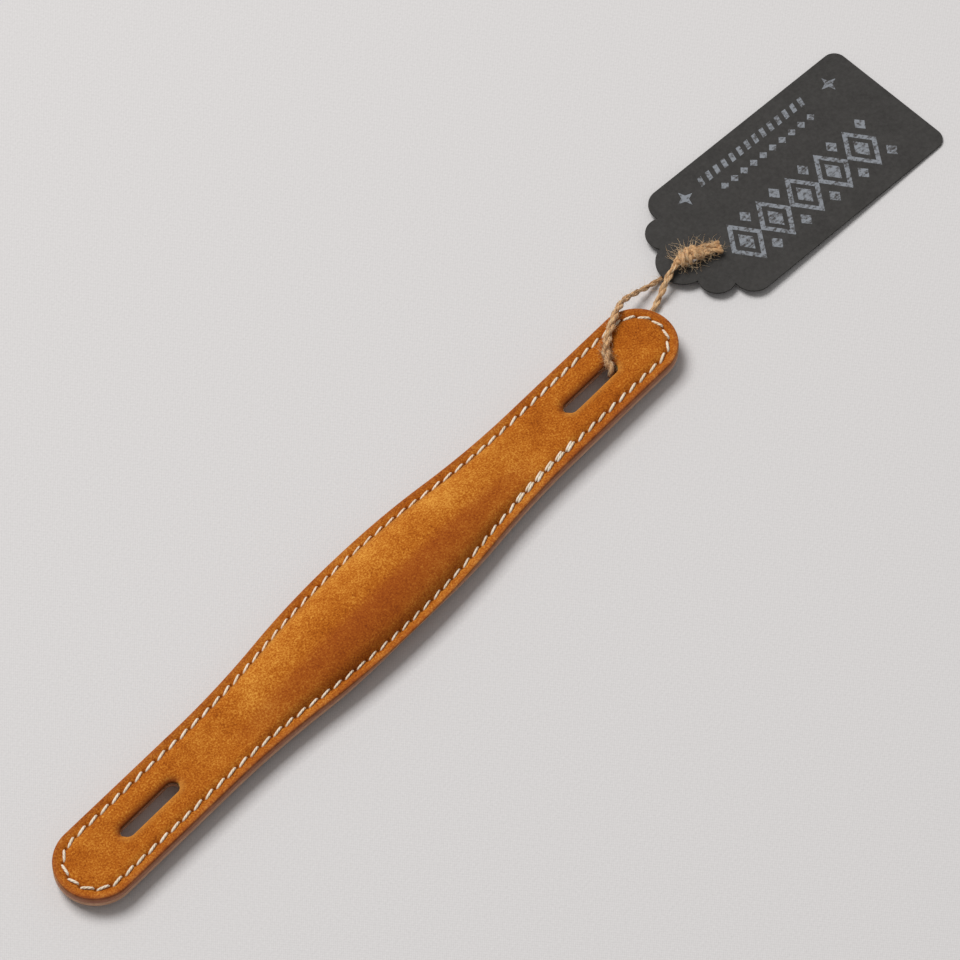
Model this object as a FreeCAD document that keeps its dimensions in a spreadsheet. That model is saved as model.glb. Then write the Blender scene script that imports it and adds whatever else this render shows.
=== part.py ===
"""Padded leather carrying strap for a guitar case or amplifier.

Three layers of leather are sewn together round a spring-steel strip and two
pads.  A long screw slot goes through each tab.  A loop of twine through one
slot holds a card hang tag.

Frame: X along the strap, Z up, origin under its middle on the surface that it
lies on.  +X is the end that carries the tag.  Millimetres.

The strap bows when it is lifted by its middle, so every continuous layer is
made in four lengths: a tab, two halves of the grip, and the other tab.
"""
import FreeCAD, Part
import math
import os

import Sketcher
from FreeCAD import Placement, Rotation, Vector

UP = Vector(0, 0, 1)

doc = FreeCAD.newDocument("CarryingStrap")

# ---------------------------------------------------------------- dimensions
DRIVING = [
    ("strap_length", 250, "tip to tip"),
    ("tab_width", 24, "width of the parallel tabs"),
    ("grip_width", 32.8, "width at the middle"),
    ("grip_taper", 70, "distance from the middle at which the tab width starts"),
    ("floor_gap", 2.5, "height of the tabs' underside, because the belly rests on the surface"),
    ("backing_thickness", 1.7, "bottom leather"),
    ("filler_thickness", 1.5, "middle leather"),
    ("cover_thickness", 1.7, "top leather"),
    ("slot_spacing", 184, "centre to centre of the two screw slots"),
    ("slot_length", 23, "screw slot, end to end"),
    ("slot_width", 4.8, "screw slot, side to side"),
    ("hinge_reach", 62, "distance from the middle to the bend at each end of the grip"),
    ("cut_gap", 0.3, "gap between two lengths of one layer"),
    ("pad_length", 120, "both pads"),
    ("pad_width", 20.4, "both pads"),
    ("top_pad_height", 5, "crown of the top pad"),
    ("bottom_pad_height", 2.4, "depth of the bottom pad"),
    ("pad_clearance", 0.15, "gap between a pad and the leather round it"),
    ("dome_length", 126, "outside of the leather over the pads"),
    ("dome_width", 26, "outside of the leather over the pads"),
    ("belly_overshoot", 0.5, "how far the belly's curve would reach below the flat it rests on"),
    ("strip_length", 214, "spring-steel strip"),
    ("strip_width", 14, "spring-steel strip"),
    ("strip_thickness", 0.8, "spring-steel strip"),
    ("strip_clearance", 0.15, "gap round the strip in its channel"),
    ("strip_slot_margin", 0.3, "how much the strip's slots are larger all round than the leather's"),
    ("stitch_inset", 2.9, "seam line to the edge"),
    ("needle_thread", 0.85, "diameter of the thread on top"),
    ("bobbin_thread", 0.7, "diameter of the thread underneath"),
    ("thread_clearance", 0.02, "gap between thread and leather"),
    ("leg_inset", 0.6, "centre of an awl slit to a thread's leg"),
    ("slit_length", 2.3, "awl slit, along the seam"),
    ("slit_width", 1.3, "awl slit, across the seam"),
    ("grip_stitches", 14, "stitches along one side of half the grip"),
    ("tab_stitches", 29, "stitches round one tab"),
    ("backtack_stitches", 3, "doubled stitches on each side of the bend, which lock the end of the seam"),
    ("twine_diameter", 1.6, "two-ply jute"),
    ("knot_length", 10.4, "knot above the tag"),
    ("knot_width", 5.2, "knot above the tag"),
    ("knot_height", 4.4, "knot above the tag"),
    ("tag_reach", 87, "tag's hole to its square end"),
    ("tag_width", 47, "hang tag"),
    ("tag_thickness", 0.6, "card"),
    ("tag_corner", 4, "radius of the square end's corners"),
    ("tag_hole", 5, "diameter of the punched hole"),
    ("tag_lift", 2, "height of the card's underside at its hole, where it lies on the twine"),
    ("tag_tilt", 1.25, "degrees, the card slopes down to its far end"),
    ("tag_heading", -4, "degrees about Z, the card lies a little askew"),
]

sheet = doc.addObject("Spreadsheet::Sheet", "Dimensions")
for row, (alias, value, meaning) in enumerate(DRIVING, start=1):
    sheet.set(f"A{row}", alias)
    sheet.set(f"B{row}", str(value))
    sheet.set(f"C{row}", meaning)
    sheet.setAlias(f"B{row}", alias)
doc.recompute()


def dim(alias):
    """One driving dimension, as a plain number."""
    return float(getattr(sheet, alias))


def bind(item, **expressions):
    """Bind properties to expressions on the sheet, whose cells are written as @alias."""
    for name, expression in expressions.items():
        item.setExpression(name.replace("__", "."), expression.replace("@", "Dimensions."))
    return item


# Heights of the faces between the layers.
BACKING_Z = "@floor_gap"
FILLER_Z = "@floor_gap + @backing_thickness"
COVER_Z = "@floor_gap + @backing_thickness + @filler_thickness"
TOP_Z = COVER_Z + " + @cover_thickness"

backing_z = dim("floor_gap")
filler_z = backing_z + dim("backing_thickness")
cover_z = filler_z + dim("filler_thickness")
top_z = cover_z + dim("cover_thickness")

tab_half = dim("tab_width") / 2
grip_half = dim("grip_width") / 2
tab_centre = dim("strap_length") / 2 - tab_half
taper = dim("grip_taper")
hinge_x = dim("hinge_reach")

# Each side of the grip is an S of two equal tangent arcs.
rise = (grip_half - tab_half) / 2
side_radius = ((taper / 2) ** 2 + rise ** 2) / (2 * rise)
side_turn = math.asin(taper / 2 / side_radius)


# ------------------------------------------------------------ shared helpers
def node(item, label):
    item.Label = label
    nodes.append(item)
    return item


nodes = []


def plane_of(body, role):
    return next(f for f in body.Origin.OriginFeatures if f.Role == role)


def primitive(kind, name, **expressions):
    return bind(doc.addObject(f"Part::{kind}", name), **expressions)


def fused(name, *items):
    union = doc.addObject("Part::MultiFuse", name)
    union.Shapes = list(items)
    union.Refine = True
    return union


def cut(name, base, tool):
    result = doc.addObject("Part::Cut", name)
    result.Base = base
    result.Tool = tool
    return result


def common(name, base, tool):
    result = doc.addObject("Part::Common", name)
    result.Base = base
    result.Tool = tool
    return result


# -------------------------------------------------------------- leather sheet
def outline_sketch(body):
    """A quarter of the strap's outline: tab end, tab side, and the S of the grip."""
    sketch = body.newObject("Sketcher::SketchObject", body.Name + "_outline")
    sketch.AttachmentSupport = (plane_of(body, "XY_Plane"), [""])
    sketch.MapMode = "FlatFace"

    right = math.pi / 2
    origin = Vector(0, 0, 0)
    tip = Vector(tab_centre + tab_half, 0, 0)
    tab_side = Vector(tab_centre, tab_half, 0)
    taper_end = Vector(taper, tab_half, 0)
    middle = Vector(0, grip_half, 0)
    hollow_centre = Vector(taper, tab_half + side_radius, 0)
    swell_centre = Vector(0, grip_half - side_radius, 0)

    floor_line, end_arc, side_line, hollow, swell, middle_line = sketch.addGeometry([
        Part.LineSegment(origin, tip),
        Part.ArcOfCircle(Part.Circle(Vector(tab_centre, 0, 0), UP, tab_half), 0, right),
        Part.LineSegment(tab_side, taper_end),
        Part.ArcOfCircle(Part.Circle(hollow_centre, UP, side_radius), 3 * right - side_turn, 3 * right),
        Part.ArcOfCircle(Part.Circle(swell_centre, UP, side_radius), right - side_turn, right),
        Part.LineSegment(middle, origin),
    ])
    start, end, centre = 1, 2, 3
    x_axis, y_axis = -1, -2
    rules = [
        ("Coincident", floor_line, start, x_axis, start),
        ("Horizontal", floor_line),
        ("Coincident", floor_line, end, end_arc, start),
        ("PointOnObject", end_arc, centre, x_axis),
        ("Tangent", end_arc, end, side_line, start),
        ("Horizontal", side_line),
        ("Tangent", side_line, end, hollow, end),
        ("Tangent", hollow, start, swell, start),
        ("Equal", hollow, swell),
        ("PointOnObject", swell, centre, y_axis),
        ("Coincident", swell, end, middle_line, start),
        ("Coincident", middle_line, end, floor_line, start),
        ("Vertical", middle_line),
    ]
    for rule in rules:
        sketch.addConstraint(Sketcher.Constraint(*rule))
    sizes = [
        ("half_length", ("DistanceX", floor_line, start, floor_line, end, tip.x), "@strap_length / 2"),
        ("end_radius", ("Radius", end_arc, tab_half), "@tab_width / 2"),
        ("taper", ("DistanceX", floor_line, start, side_line, end, taper), "@grip_taper"),
        ("half_width", ("DistanceY", floor_line, start, middle_line, start, grip_half), "@grip_width / 2"),
    ]
    for name, constraint, expression in sizes:
        index = sketch.addConstraint(Sketcher.Constraint(*constraint))
        sketch.renameConstraint(index, name)
        bind(sketch, **{"Constraints." + name: expression})
    return sketch


def leather_sheet(name, thickness, height):
    """One flat leather layer: the quarter outline padded and mirrored both ways."""
    body = doc.addObject("PartDesign::Body", name)
    sketch = outline_sketch(body)
    pad = body.newObject("PartDesign::Pad", name + "_pad")
    pad.Profile = sketch
    sketch.Visibility = False
    bind(pad, Length=thickness)
    doc.recompute()
    mirrors = []
    for role in ("XZ_Plane", "YZ_Plane"):
        mirror = doc.addObject("PartDesign::Mirrored", name + "_" + role[:2])
        mirror.MirrorPlane = (plane_of(body, role), [""])
        mirrors.append(mirror)
    both = body.newObject("PartDesign::MultiTransform", name + "_mirrored")
    both.Originals = [pad]
    both.Transformations = mirrors
    body.Tip = both
    bind(body, Placement__Base__z=height)
    return body


def slotted_bar(name, length, width, thickness, centre_x, height):
    """A flat bar with round ends: a screw slot's cutter, or the steel strip."""
    block = primitive(
        "Box", name + "_block", Length=f"{length} - ({width})", Width=width, Height=thickness,
        Placement__Base__x=f"{centre_x} - ({length} - ({width})) / 2",
        Placement__Base__y=f"-({width}) / 2", Placement__Base__z=height)
    ends = [
        primitive(
            "Cylinder", f"{name}_end_{letter}", Radius=f"({width}) / 2", Height=thickness,
            Placement__Base__x=f"{centre_x} {sign} ({length} - ({width})) / 2",
            Placement__Base__z=height)
        for letter, sign in (("a", "-"), ("b", "+"))
    ]
    return fused(name, block, *ends)


def slot_pair(name, margin, height, depth):
    """Cutters for both screw slots, larger all round by a margin."""
    return fused(name, *[
        slotted_bar(f"{name}_{letter}", f"(@slot_length + 2 * {margin})", f"@slot_width + 2 * {margin}",
                    depth, f"{sign} @slot_spacing / 2", height)
        for letter, sign in (("a", "-"), ("b", "+"))
    ])


def half_ellipsoid(name, length, width, height, centre_z, side):
    """Half an ellipsoid, above (+1) or below (-1) the plane through its centre."""
    dome = primitive(
        "Ellipsoid", name, Radius1=height, Radius2=f"({length}) / 2", Radius3=f"({width}) / 2",
        Placement__Base__z=centre_z)
    dome.Angle1 = 0 if side > 0 else -90
    dome.Angle2 = 90 if side > 0 else 0
    return dome


cavity_length = "@pad_length + 2 * @pad_clearance"
cavity_width = "@pad_width + 2 * @pad_clearance"
slots = slot_pair("screw_slots", "0", "0", TOP_Z + " + 5")

# Top cover: a flat flange all round and a dome over the top pad.
cover_flat = leather_sheet("cover_flat", "@cover_thickness", COVER_Z)
cover_dome = half_ellipsoid(
    "cover_dome", "@dome_length", "@dome_width", "@top_pad_height + @cover_thickness", COVER_Z, 1)
cover_cavity = half_ellipsoid(
    "cover_cavity", cavity_length, cavity_width, "@top_pad_height + @pad_clearance", COVER_Z, 1)
cover_hollow = cut("cover_hollow", fused("cover_raised", cover_flat, cover_dome), cover_cavity)
cover = cut("cover_slotted", cover_hollow, slots)

# Backing: the same the other way up, with its belly cut flat where it rests.
backing_flat = leather_sheet("backing_flat", "@backing_thickness", BACKING_Z)
belly = half_ellipsoid(
    "belly", "@dome_length", "@dome_width", FILLER_Z + " + @belly_overshoot", FILLER_Z, -1)
belly_cavity = half_ellipsoid(
    "belly_cavity", cavity_length, cavity_width, "@bottom_pad_height + @pad_clearance", FILLER_Z, -1)
above_surface = primitive(
    "Box", "above_surface", Length="@strap_length", Width="@grip_width", Height=TOP_Z,
    Placement__Base__x="-@strap_length / 2", Placement__Base__y="-@grip_width / 2")
belly_rested = common("belly_rested", belly, above_surface)
backing_hollow = cut("backing_hollow", fused("backing_lowered", backing_flat, belly_rested), belly_cavity)
backing = cut("backing_slotted", backing_hollow, slots)

# Filler: flat, with a channel under it for the steel strip.
filler_flat = leather_sheet("filler_flat", "@filler_thickness", FILLER_Z)
strip_channel = slotted_bar(
    "strip_channel", "(@strip_length + 2 * @strip_clearance)", "@strip_width + 2 * @strip_clearance",
    "@strip_thickness + @strip_clearance", "0", FILLER_Z)
filler = cut("filler_slotted", cut("filler_channelled", filler_flat, strip_channel), slots)

# Spring-steel strip, with slots that let the screws through.
strip_bar = slotted_bar("strip_bar", "@strip_length", "@strip_width", "@strip_thickness", "0", FILLER_Z)
strip_slots = slot_pair("strip_slots", "@strip_slot_margin", "0", TOP_Z)
strip = cut("strip_slotted", strip_bar, strip_slots)

# Pads above and below the filler.
top_pad = half_ellipsoid("top_pad", "@pad_length", "@pad_width", "@top_pad_height", COVER_Z, 1)
bottom_pad = half_ellipsoid("bottom_pad", "@pad_length", "@pad_width", "@bottom_pad_height", FILLER_Z, -1)


# ------------------------------------------------------------------ the seam
def seam_edge(start_x, end_x, swelling):
    """The seam along one arc of the grip's side, between two distances from the middle."""
    if swelling:
        centre_x, centre_y, radius, turn = 0, grip_half - side_radius, side_radius - dim("stitch_inset"), 1
    else:
        centre_x, centre_y, radius, turn = taper, tab_half + side_radius, side_radius + dim("stitch_inset"), -1

    def point(x):
        return Vector(x, centre_y + turn * math.sqrt(radius ** 2 - (x - centre_x) ** 2), 0)

    return Part.Arc(point(start_x), point((start_x + end_x) / 2), point(end_x)).toShape()


def evenly_spaced(edges, count):
    """Points along joined edges that divide them into a number of equal stitches."""
    return Part.Wire(edges).discretize(Number=int(count) + 1)


seam_half = tab_half - dim("stitch_inset")
# The two arcs of the seam meet on the line between the two arcs' centres.
meet_x = (side_radius - dim("stitch_inset")) * math.sin(side_turn)
grip_quarter = evenly_spaced(
    [seam_edge(0, meet_x, True), seam_edge(meet_x, hinge_x, False)], dim("grip_stitches"))

to_tab = seam_edge(hinge_x, taper, False)
along_tab = Part.LineSegment(Vector(taper, seam_half, 0), Vector(tab_centre, seam_half, 0)).toShape()
tab_tip = Vector(tab_centre + seam_half, 0, 0)
round_tip = Part.Arc(Vector(tab_centre, seam_half, 0), tab_tip, Vector(tab_centre, -seam_half, 0)).toShape()
mirror_y = FreeCAD.Matrix(1, 0, 0, 0, 0, -1, 0, 0, 0, 0, 1, 0, 0, 0, 0, 1)
back_edges = [edge.transformGeometry(mirror_y) for edge in (along_tab, to_tab)]
tab_round = evenly_spaced([to_tab, along_tab, round_tip] + back_edges, dim("tab_stitches"))


def turned(points, x_sign, y_sign):
    return [Vector(p.x * x_sign, p.y * y_sign, 0) for p in points]


# Runs of awl holes on each moving length of the strap.
seam_runs = {
    "tab_a": [turned(tab_round, -1, 1)],
    "grip_a": [turned(grip_quarter, -1, side) for side in (1, -1)],
    "grip_b": [turned(grip_quarter, 1, side) for side in (1, -1)],
    "tab_b": [turned(tab_round, 1, 1)],
}


def stitch(first_hole, second_hole, diameter, bar_z, leg_z):
    """One stitch: a bar between two awl holes with a leg down or up into each."""
    along = (second_hole - first_hole).normalize()
    inset = along * dim("leg_inset")
    lift = Vector(0, 0, bar_z)
    start, end = first_hole + inset + lift, second_hole - inset + lift
    leg = Vector(0, 0, leg_z - bar_z)
    bend = diameter * 0.6
    down = Vector(0, 0, math.copysign(bend, leg.z))
    diagonal = math.sqrt(0.5)
    start_mid = start + (along + down / bend) * bend * (1 - diagonal)
    end_mid = end + (down / bend - along) * bend * (1 - diagonal)
    path = Part.Wire([
        Part.LineSegment(start + leg, start + down).toShape(),
        Part.Arc(start + down, start_mid, start + along * bend).toShape(),
        Part.LineSegment(start + along * bend, end - along * bend).toShape(),
        Part.Arc(end - along * bend, end_mid, end + down).toShape(),
        Part.LineSegment(end + down, end + leg).toShape(),
    ])
    section = Part.Wire(Part.Circle(start + leg, UP, diameter / 2).toShape())
    return path.makePipeShell([section], True, True)


def slit(hole, heading):
    """The cutter of one awl slit, turned to lie along the seam."""
    length, width = dim("slit_length"), dim("slit_width")
    cutter = Part.makeBox(length, width, top_z + 2, Vector(-length / 2, -width / 2, 0))
    cutter.Placement = Placement(hole, Rotation(Vector(1, 0, 0), heading))
    return cutter


def slits_of(run):
    before = [run[0]] + run[:-1]
    after = run[1:] + [run[-1]]
    return [slit(hole, b - a) for hole, a, b in zip(run, before, after)]


def stitches_of(runs, diameter, bar_z, leg_z):
    return [stitch(a, b, diameter, bar_z, leg_z) for run in runs for a, b in zip(run, run[1:])]


def computed(name, shape):
    """A shape worked out from the sheet in this file, as a document object."""
    item = doc.addObject("Part::Feature", name)
    item.Shape = shape
    return item


needle_z = top_z + dim("thread_clearance") + dim("needle_thread") / 2
bobbin_z = backing_z - dim("thread_clearance") - dim("bobbin_thread") / 2
# The two threads lock inside the filler, just clear of each other.
lock_z = (filler_z + cover_z) / 2
lock_gap = 0.1

# ------------------------------------------------- the strap in four lengths
limit = "(@strap_length / 2 + 1)"
stations = {
    "tab_a": ("-" + limit, "-@hinge_reach - @cut_gap / 2"),
    "grip_a": ("-@hinge_reach + @cut_gap / 2", "-@cut_gap / 2"),
    "grip_b": ("@cut_gap / 2", "@hinge_reach - @cut_gap / 2"),
    "tab_b": ("@hinge_reach + @cut_gap / 2", limit),
}
layers = [("top_cover", cover, True), ("filler", filler, True), ("backing", backing, True),
          ("spring_strip", strip, False)]
pads = [("top_pad", top_pad), ("bottom_pad", bottom_pad)]

for place, (start, end) in stations.items():
    length = primitive(
        "Box", place + "_length", Length=f"({end}) - ({start})", Width="@grip_width + 2",
        Height=TOP_Z + " + @top_pad_height + 1", Placement__Base__x=start,
        Placement__Base__y="-@grip_width / 2 - 1")
    runs = seam_runs[place]
    slits = computed(place + "_slits", Part.makeCompound([s for run in runs for s in slits_of(run)]))
    for name, layer, sewn in layers:
        piece = common(f"{name}_{place}_uncut", layer, length)
        if sewn:
            piece = cut(f"{name}_{place}_sewn", piece, slits)
        node(piece, f"{name}_{place}")
    if place.startswith("grip"):
        for name, pad in pads:
            node(common(f"{name}_{place}_half", pad, length), f"{name}_{place}")
    needle = stitches_of(runs, dim("needle_thread"), needle_z, lock_z + lock_gap / 2)
    bobbin = stitches_of(runs, dim("bobbin_thread"), bobbin_z, lock_z - lock_gap / 2)
    node(computed(f"needle_{place}", Part.makeCompound(needle)), f"needle_thread_{place}")
    node(computed(f"bobbin_{place}", Part.makeCompound(bobbin)), f"bobbin_thread_{place}")

# The seam ends by going back over its last stitches, beside the first row. Both runs start at the bend.
beside = Vector(0, dim("needle_thread") + dim("thread_clearance"), needle_z)
for place, run in (("tab_b", seam_runs["tab_b"][0]), ("grip_b", seam_runs["grip_b"][1])):
    run = run[::-1][:int(dim("backtack_stitches")) + 1]
    backtack = []
    for first, second in zip(run, run[1:]):
        along = (second - first).normalize()
        bar_start = first + along * dim("leg_inset") + beside
        bar_length = (second - first).Length - 2 * dim("leg_inset")
        backtack.append(Part.makeCylinder(dim("needle_thread") / 2, bar_length, bar_start, along))
    node(computed(f"backtack_{place}", Part.makeCompound(backtack)), f"backtack_thread_{place}")

# --------------------------------------------------------------- the hang tag
# Worked in the tag's own frame: hole at the origin, square end towards +X.
scallops = [("shoulder", 9, 17.3, 6.2), ("flank", 0.5, 10.8, 5.8)]
nose_x, nose_radius = -3, 8
notches = [(2.9, 16.08), (-4.5, 7.87)]

tag_top = "@tag_thickness"
corner_x = "@tag_reach - @tag_corner"
card_pieces = [
    primitive("Box", "tag_panel", Length=f"{corner_x} - 9", Width="@tag_width", Height=tag_top,
              Placement__Base__x="9", Placement__Base__y="-@tag_width / 2"),
    primitive("Box", "tag_end", Length="@tag_reach - 9", Width="@tag_width - 2 * @tag_corner", Height=tag_top,
              Placement__Base__x="9", Placement__Base__y="-@tag_width / 2 + @tag_corner"),
    primitive("Cylinder", "tag_nose", Radius=str(nose_radius), Height=tag_top,
              Placement__Base__x=str(nose_x)),
]
for index, (notch_x, notch_y) in enumerate(notches):
    card_pieces.append(primitive(
        "Box", f"tag_step_{index}", Length=str(9 - notch_x), Width=str(2 * notch_y), Height=tag_top,
        Placement__Base__x=str(notch_x), Placement__Base__y=str(-notch_y)))
for side in ("-", "+"):
    word = "left" if side == "+" else "right"
    card_pieces.append(primitive(
        "Cylinder", f"tag_corner_{word}", Radius="@tag_corner", Height=tag_top,
        Placement__Base__x=corner_x, Placement__Base__y=f"{side}(@tag_width / 2 - @tag_corner)"))
    for name, scallop_x, scallop_y, radius in scallops:
        card_pieces.append(primitive(
            "Cylinder", f"tag_{name}_{word}", Radius=str(radius), Height=tag_top,
            Placement__Base__x=str(scallop_x), Placement__Base__y=side + str(scallop_y)))
tag_hole = primitive("Cylinder", "tag_hole", Radius="@tag_hole / 2", Height=tag_top)
hang_tag = node(cut("card", fused("card_blank", *card_pieces), tag_hole), "hang_tag")
tag_pivot = Vector(148.6, 10.2, dim("tag_lift"))
tag_turn = Rotation(UP, dim("tag_heading")) * Rotation(Vector(0, 1, 0), dim("tag_tilt"))
hang_tag.Placement = Placement(tag_pivot, tag_turn)

# ------------------------------------------------------------------ the twine
# From the knot over the tag's nose, under the strap's tip, up through the
# slot, back over the strap's edge, under the tag and up through its hole.
TWINE_ROUTE = [
    (144.2, 10.6, 5.0), (140.6, 10.0, 4.6), (136.6, 9.0, 4.0), (132.6, 7.7, 2.2), (128.6, 6.6, 1.1),
    (123.5, 5.3, 0.86), (117.2, 4.3, 0.84), (110.8, 2.9, 0.85), (105.2, 0.9, 0.84), (100.4, -1.0, 0.86),
    (100.0, -1.1, 8.4), (102.4, 2.9, 8.5), (106.2, 6.1, 8.8), (111.0, 8.5, 9.2), (115.3, 10.5, 9.0),
    (119.0, 12.0, 7.9), (122.9, 13.0, 6.0), (127.4, 12.9, 4.0), (132.0, 12.4, 2.3), (136.6, 12.0, 1.15),
    (141.0, 11.5, 0.86), (145.0, 10.7, 0.84), (148.6, 10.2, 0.9), (148.6, 10.15, 4.8),
]
TAIL_ROUTES = [
    [(150.6, 8.7, 4.9), (156.4, 5.4, 4.5)],
    [(149.9, 6.9, 4.6), (154.8, 2.9, 4.0)],
]


def rounded_route(points):
    """Straight runs joined by tangent arcs, each as large as its two runs allow."""
    points = [Vector(*p) for p in points]
    edges, radii, reached = [], [], points[0]
    for before, corner, after in zip(points, points[1:], points[2:]):
        arriving, leaving = corner - before, after - corner
        turn = arriving.getAngle(leaving)
        setback = 0.45 * min(arriving.Length, leaving.Length)
        radius = setback / math.tan(turn / 2)
        arc_start = corner - arriving.normalize() * setback
        arc_end = corner + leaving.normalize() * setback
        inward = (leaving - arriving).normalize()
        arc_middle = corner + inward * (math.hypot(radius, setback) - radius)
        edges.append(Part.LineSegment(reached, arc_start).toShape())
        edges.append(Part.Arc(arc_start, arc_middle, arc_end).toShape())
        radii.append(radius)
        reached = arc_end
    edges.append(Part.LineSegment(reached, points[-1]).toShape())
    return Part.Wire(edges), radii


def round_tube(path, diameter):
    """A solid tube of one diameter along a path."""
    first = path.Edges[0]
    section = Part.Wire(Part.Circle(first.valueAt(first.FirstParameter), first.tangentAt(first.FirstParameter),
                                    diameter / 2).toShape())
    return path.makePipeShell([section], True, True)


twine_path, twine_radii = rounded_route(TWINE_ROUTE)
twine_tube = round_tube(twine_path, dim("twine_diameter"))
twine_volume = math.pi * dim("twine_diameter") ** 2 / 4 * twine_path.Length
print(f"twine loop {twine_path.Length:.1f} mm, radii", [round(r, 1) for r in twine_radii])
print(f"twine volume {twine_tube.Volume:.1f}, section times length {twine_volume:.1f}")
node(computed("twine", twine_tube), "twine_loop")

knot = primitive(
    "Ellipsoid", "knot", Radius1="@knot_height / 2", Radius2="@knot_length / 2", Radius3="@knot_width / 2")
knot.Placement = Placement(Vector(147.0, 9.6, 5.0), Rotation(UP, -17.4))
node(knot, "twine_knot")

tails = []
for route in TAIL_ROUTES:
    start, end = (Vector(*p) for p in route)
    tails.append(Part.makeCylinder(dim("twine_diameter") / 2, (end - start).Length, start, end - start))
node(computed("tails", Part.makeCompound(tails)), "twine_tails")

# -------------------------------------------------------------- check, export
doc.recompute()
for item in doc.Objects:
    broken = [word for word in item.State if word in ("Invalid", "Error")]
    assert not broken, f"{item.Name} is {broken}"
for item in nodes:
    assert not item.Shape.isNull() and item.Shape.isValid(), f"{item.Label} has no valid shape"
    assert item.Shape.Solids, f"{item.Label} has no solid"

os.makedirs("parts", exist_ok=True)
for item in nodes:
    item.Shape.exportStep(f"parts/{item.Label}.step")
print(len(nodes), "sub-parts written")
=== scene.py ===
# %% [markdown]
# # A padded leather strap with a swing tag
#
# The strap is a sandwich of two leathers, a filler and a spring strip, sewn together round the rim and
# padded with felt over the grip. A dark card tag hangs on it by a loop of jute twine. The cells below make
# each piece as a surface worked out with numpy round a frame that already holds the true sizes, then give
# every piece its finish, and light the table that it lies on.

# %% Load the frame
import math

import bpy
import numpy as np
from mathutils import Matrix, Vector


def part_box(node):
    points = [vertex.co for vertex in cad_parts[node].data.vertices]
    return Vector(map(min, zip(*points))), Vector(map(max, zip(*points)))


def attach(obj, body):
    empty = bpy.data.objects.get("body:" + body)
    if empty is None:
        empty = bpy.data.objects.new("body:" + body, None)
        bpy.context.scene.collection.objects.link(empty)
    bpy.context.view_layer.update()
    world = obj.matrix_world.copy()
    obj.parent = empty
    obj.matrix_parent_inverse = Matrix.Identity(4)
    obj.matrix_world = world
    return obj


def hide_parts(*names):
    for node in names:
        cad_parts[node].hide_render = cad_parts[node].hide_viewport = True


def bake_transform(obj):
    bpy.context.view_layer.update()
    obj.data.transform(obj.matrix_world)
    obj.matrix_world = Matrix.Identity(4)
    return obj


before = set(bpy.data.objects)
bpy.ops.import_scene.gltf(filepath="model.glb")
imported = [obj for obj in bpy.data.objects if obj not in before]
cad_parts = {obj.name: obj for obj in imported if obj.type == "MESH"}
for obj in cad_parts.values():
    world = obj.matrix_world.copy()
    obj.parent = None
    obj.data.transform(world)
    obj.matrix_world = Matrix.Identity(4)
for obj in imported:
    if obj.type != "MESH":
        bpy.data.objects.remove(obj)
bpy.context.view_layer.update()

# %% [markdown]
# ## Sizes
#
# Leather is bought by thickness, so the layers' heights come from the frame's own boxes. The few sizes that
# no box gives, such as how far in the seam runs, are named here once.

# %% Heights and widths
MM = 0.001
COVER_TOP = round(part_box("top_cover_tab_b")[1].z, 4)
COVER_BASE = round(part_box("top_cover_tab_b")[0].z, 4)
FILLER_BASE = round(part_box("filler_tab_b")[0].z, 4)
BACKING_BASE = 2.5 * MM
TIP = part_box("top_cover_tab_b")[1].x
GRIP_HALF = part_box("top_cover_grip_b")[1].y
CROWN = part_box("top_cover_grip_b")[1].z - COVER_TOP
TAB_HALF = 12 * MM
TAPER = 70 * MM
SEAM_INSET = 2.9 * MM
HINGE = 62 * MM
print("cover", COVER_BASE, COVER_TOP, "filler", FILLER_BASE, "tip", TIP, "grip", GRIP_HALF, "crown", CROWN)

# %% Slot, pad and spring strip
SLOT_MIDDLE = 92 * MM
SLOT_HALF = 2.4 * MM
SLOT_REACH = 11.5 * MM - SLOT_HALF
PAD_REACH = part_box("top_pad_grip_b")[1].x
PAD_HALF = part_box("top_pad_grip_b")[1].y
STRIP_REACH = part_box("spring_strip_tab_b")[1].x
STRIP_HALF = 7 * MM
STRIP_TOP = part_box("spring_strip_tab_b")[1].z
LOWER_PAD = FILLER_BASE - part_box("bottom_pad_grip_b")[0].z
print("pad", PAD_REACH, PAD_HALF, "strip", STRIP_REACH, STRIP_TOP)

# %% [markdown]
# ## The camera
#
# A long lens from well back keeps the strap's two ends nearly the same size. The camera looks down at 58
# degrees, across the strap, so that it runs from the lower left of the picture to the upper right.

# %% Set up the camera
VIEW_AZIMUTH = math.radians(-48.36)
VIEW_ELEVATION = math.radians(58)
VIEW_DISTANCE = 1.4
LENS = 183.0
SENSOR = 36
LOOK_AT = Vector((50.6 * MM, 5.7 * MM, 0))


def direction_of(azimuth, elevation):
    """The way a camera looks: azimuth turns it from +Y towards -X, elevation tips it down."""
    level = math.cos(elevation)
    return Vector((-math.sin(azimuth) * level, math.cos(azimuth) * level, -math.sin(elevation)))


def aim(thing, look_at, looking, distance):
    """Puts a camera or a lamp that far back from a point, facing it."""
    thing.location = look_at - looking * distance
    thing.rotation_euler = looking.to_track_quat("-Z", "Y").to_euler()


camera_data = bpy.data.cameras.new("camera")
camera_data.lens = LENS
camera_data.sensor_width = SENSOR
camera = bpy.data.objects.new("camera", camera_data)
bpy.context.scene.collection.objects.link(camera)
aim(camera, LOOK_AT, direction_of(VIEW_AZIMUTH, VIEW_ELEVATION), VIEW_DISTANCE)
bpy.context.scene.camera = camera
print("camera at", list(camera.location))

# %% [markdown]
# ## Nets and pieces
#
# A net is an array of points and an array of four-cornered faces. Every leather, thread and strand below is
# such a net, so one helper turns a net into an object. It also stores where each point rests, because the
# leather bends at the joints, and a grain that is read from the resting place bends with it.

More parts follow.
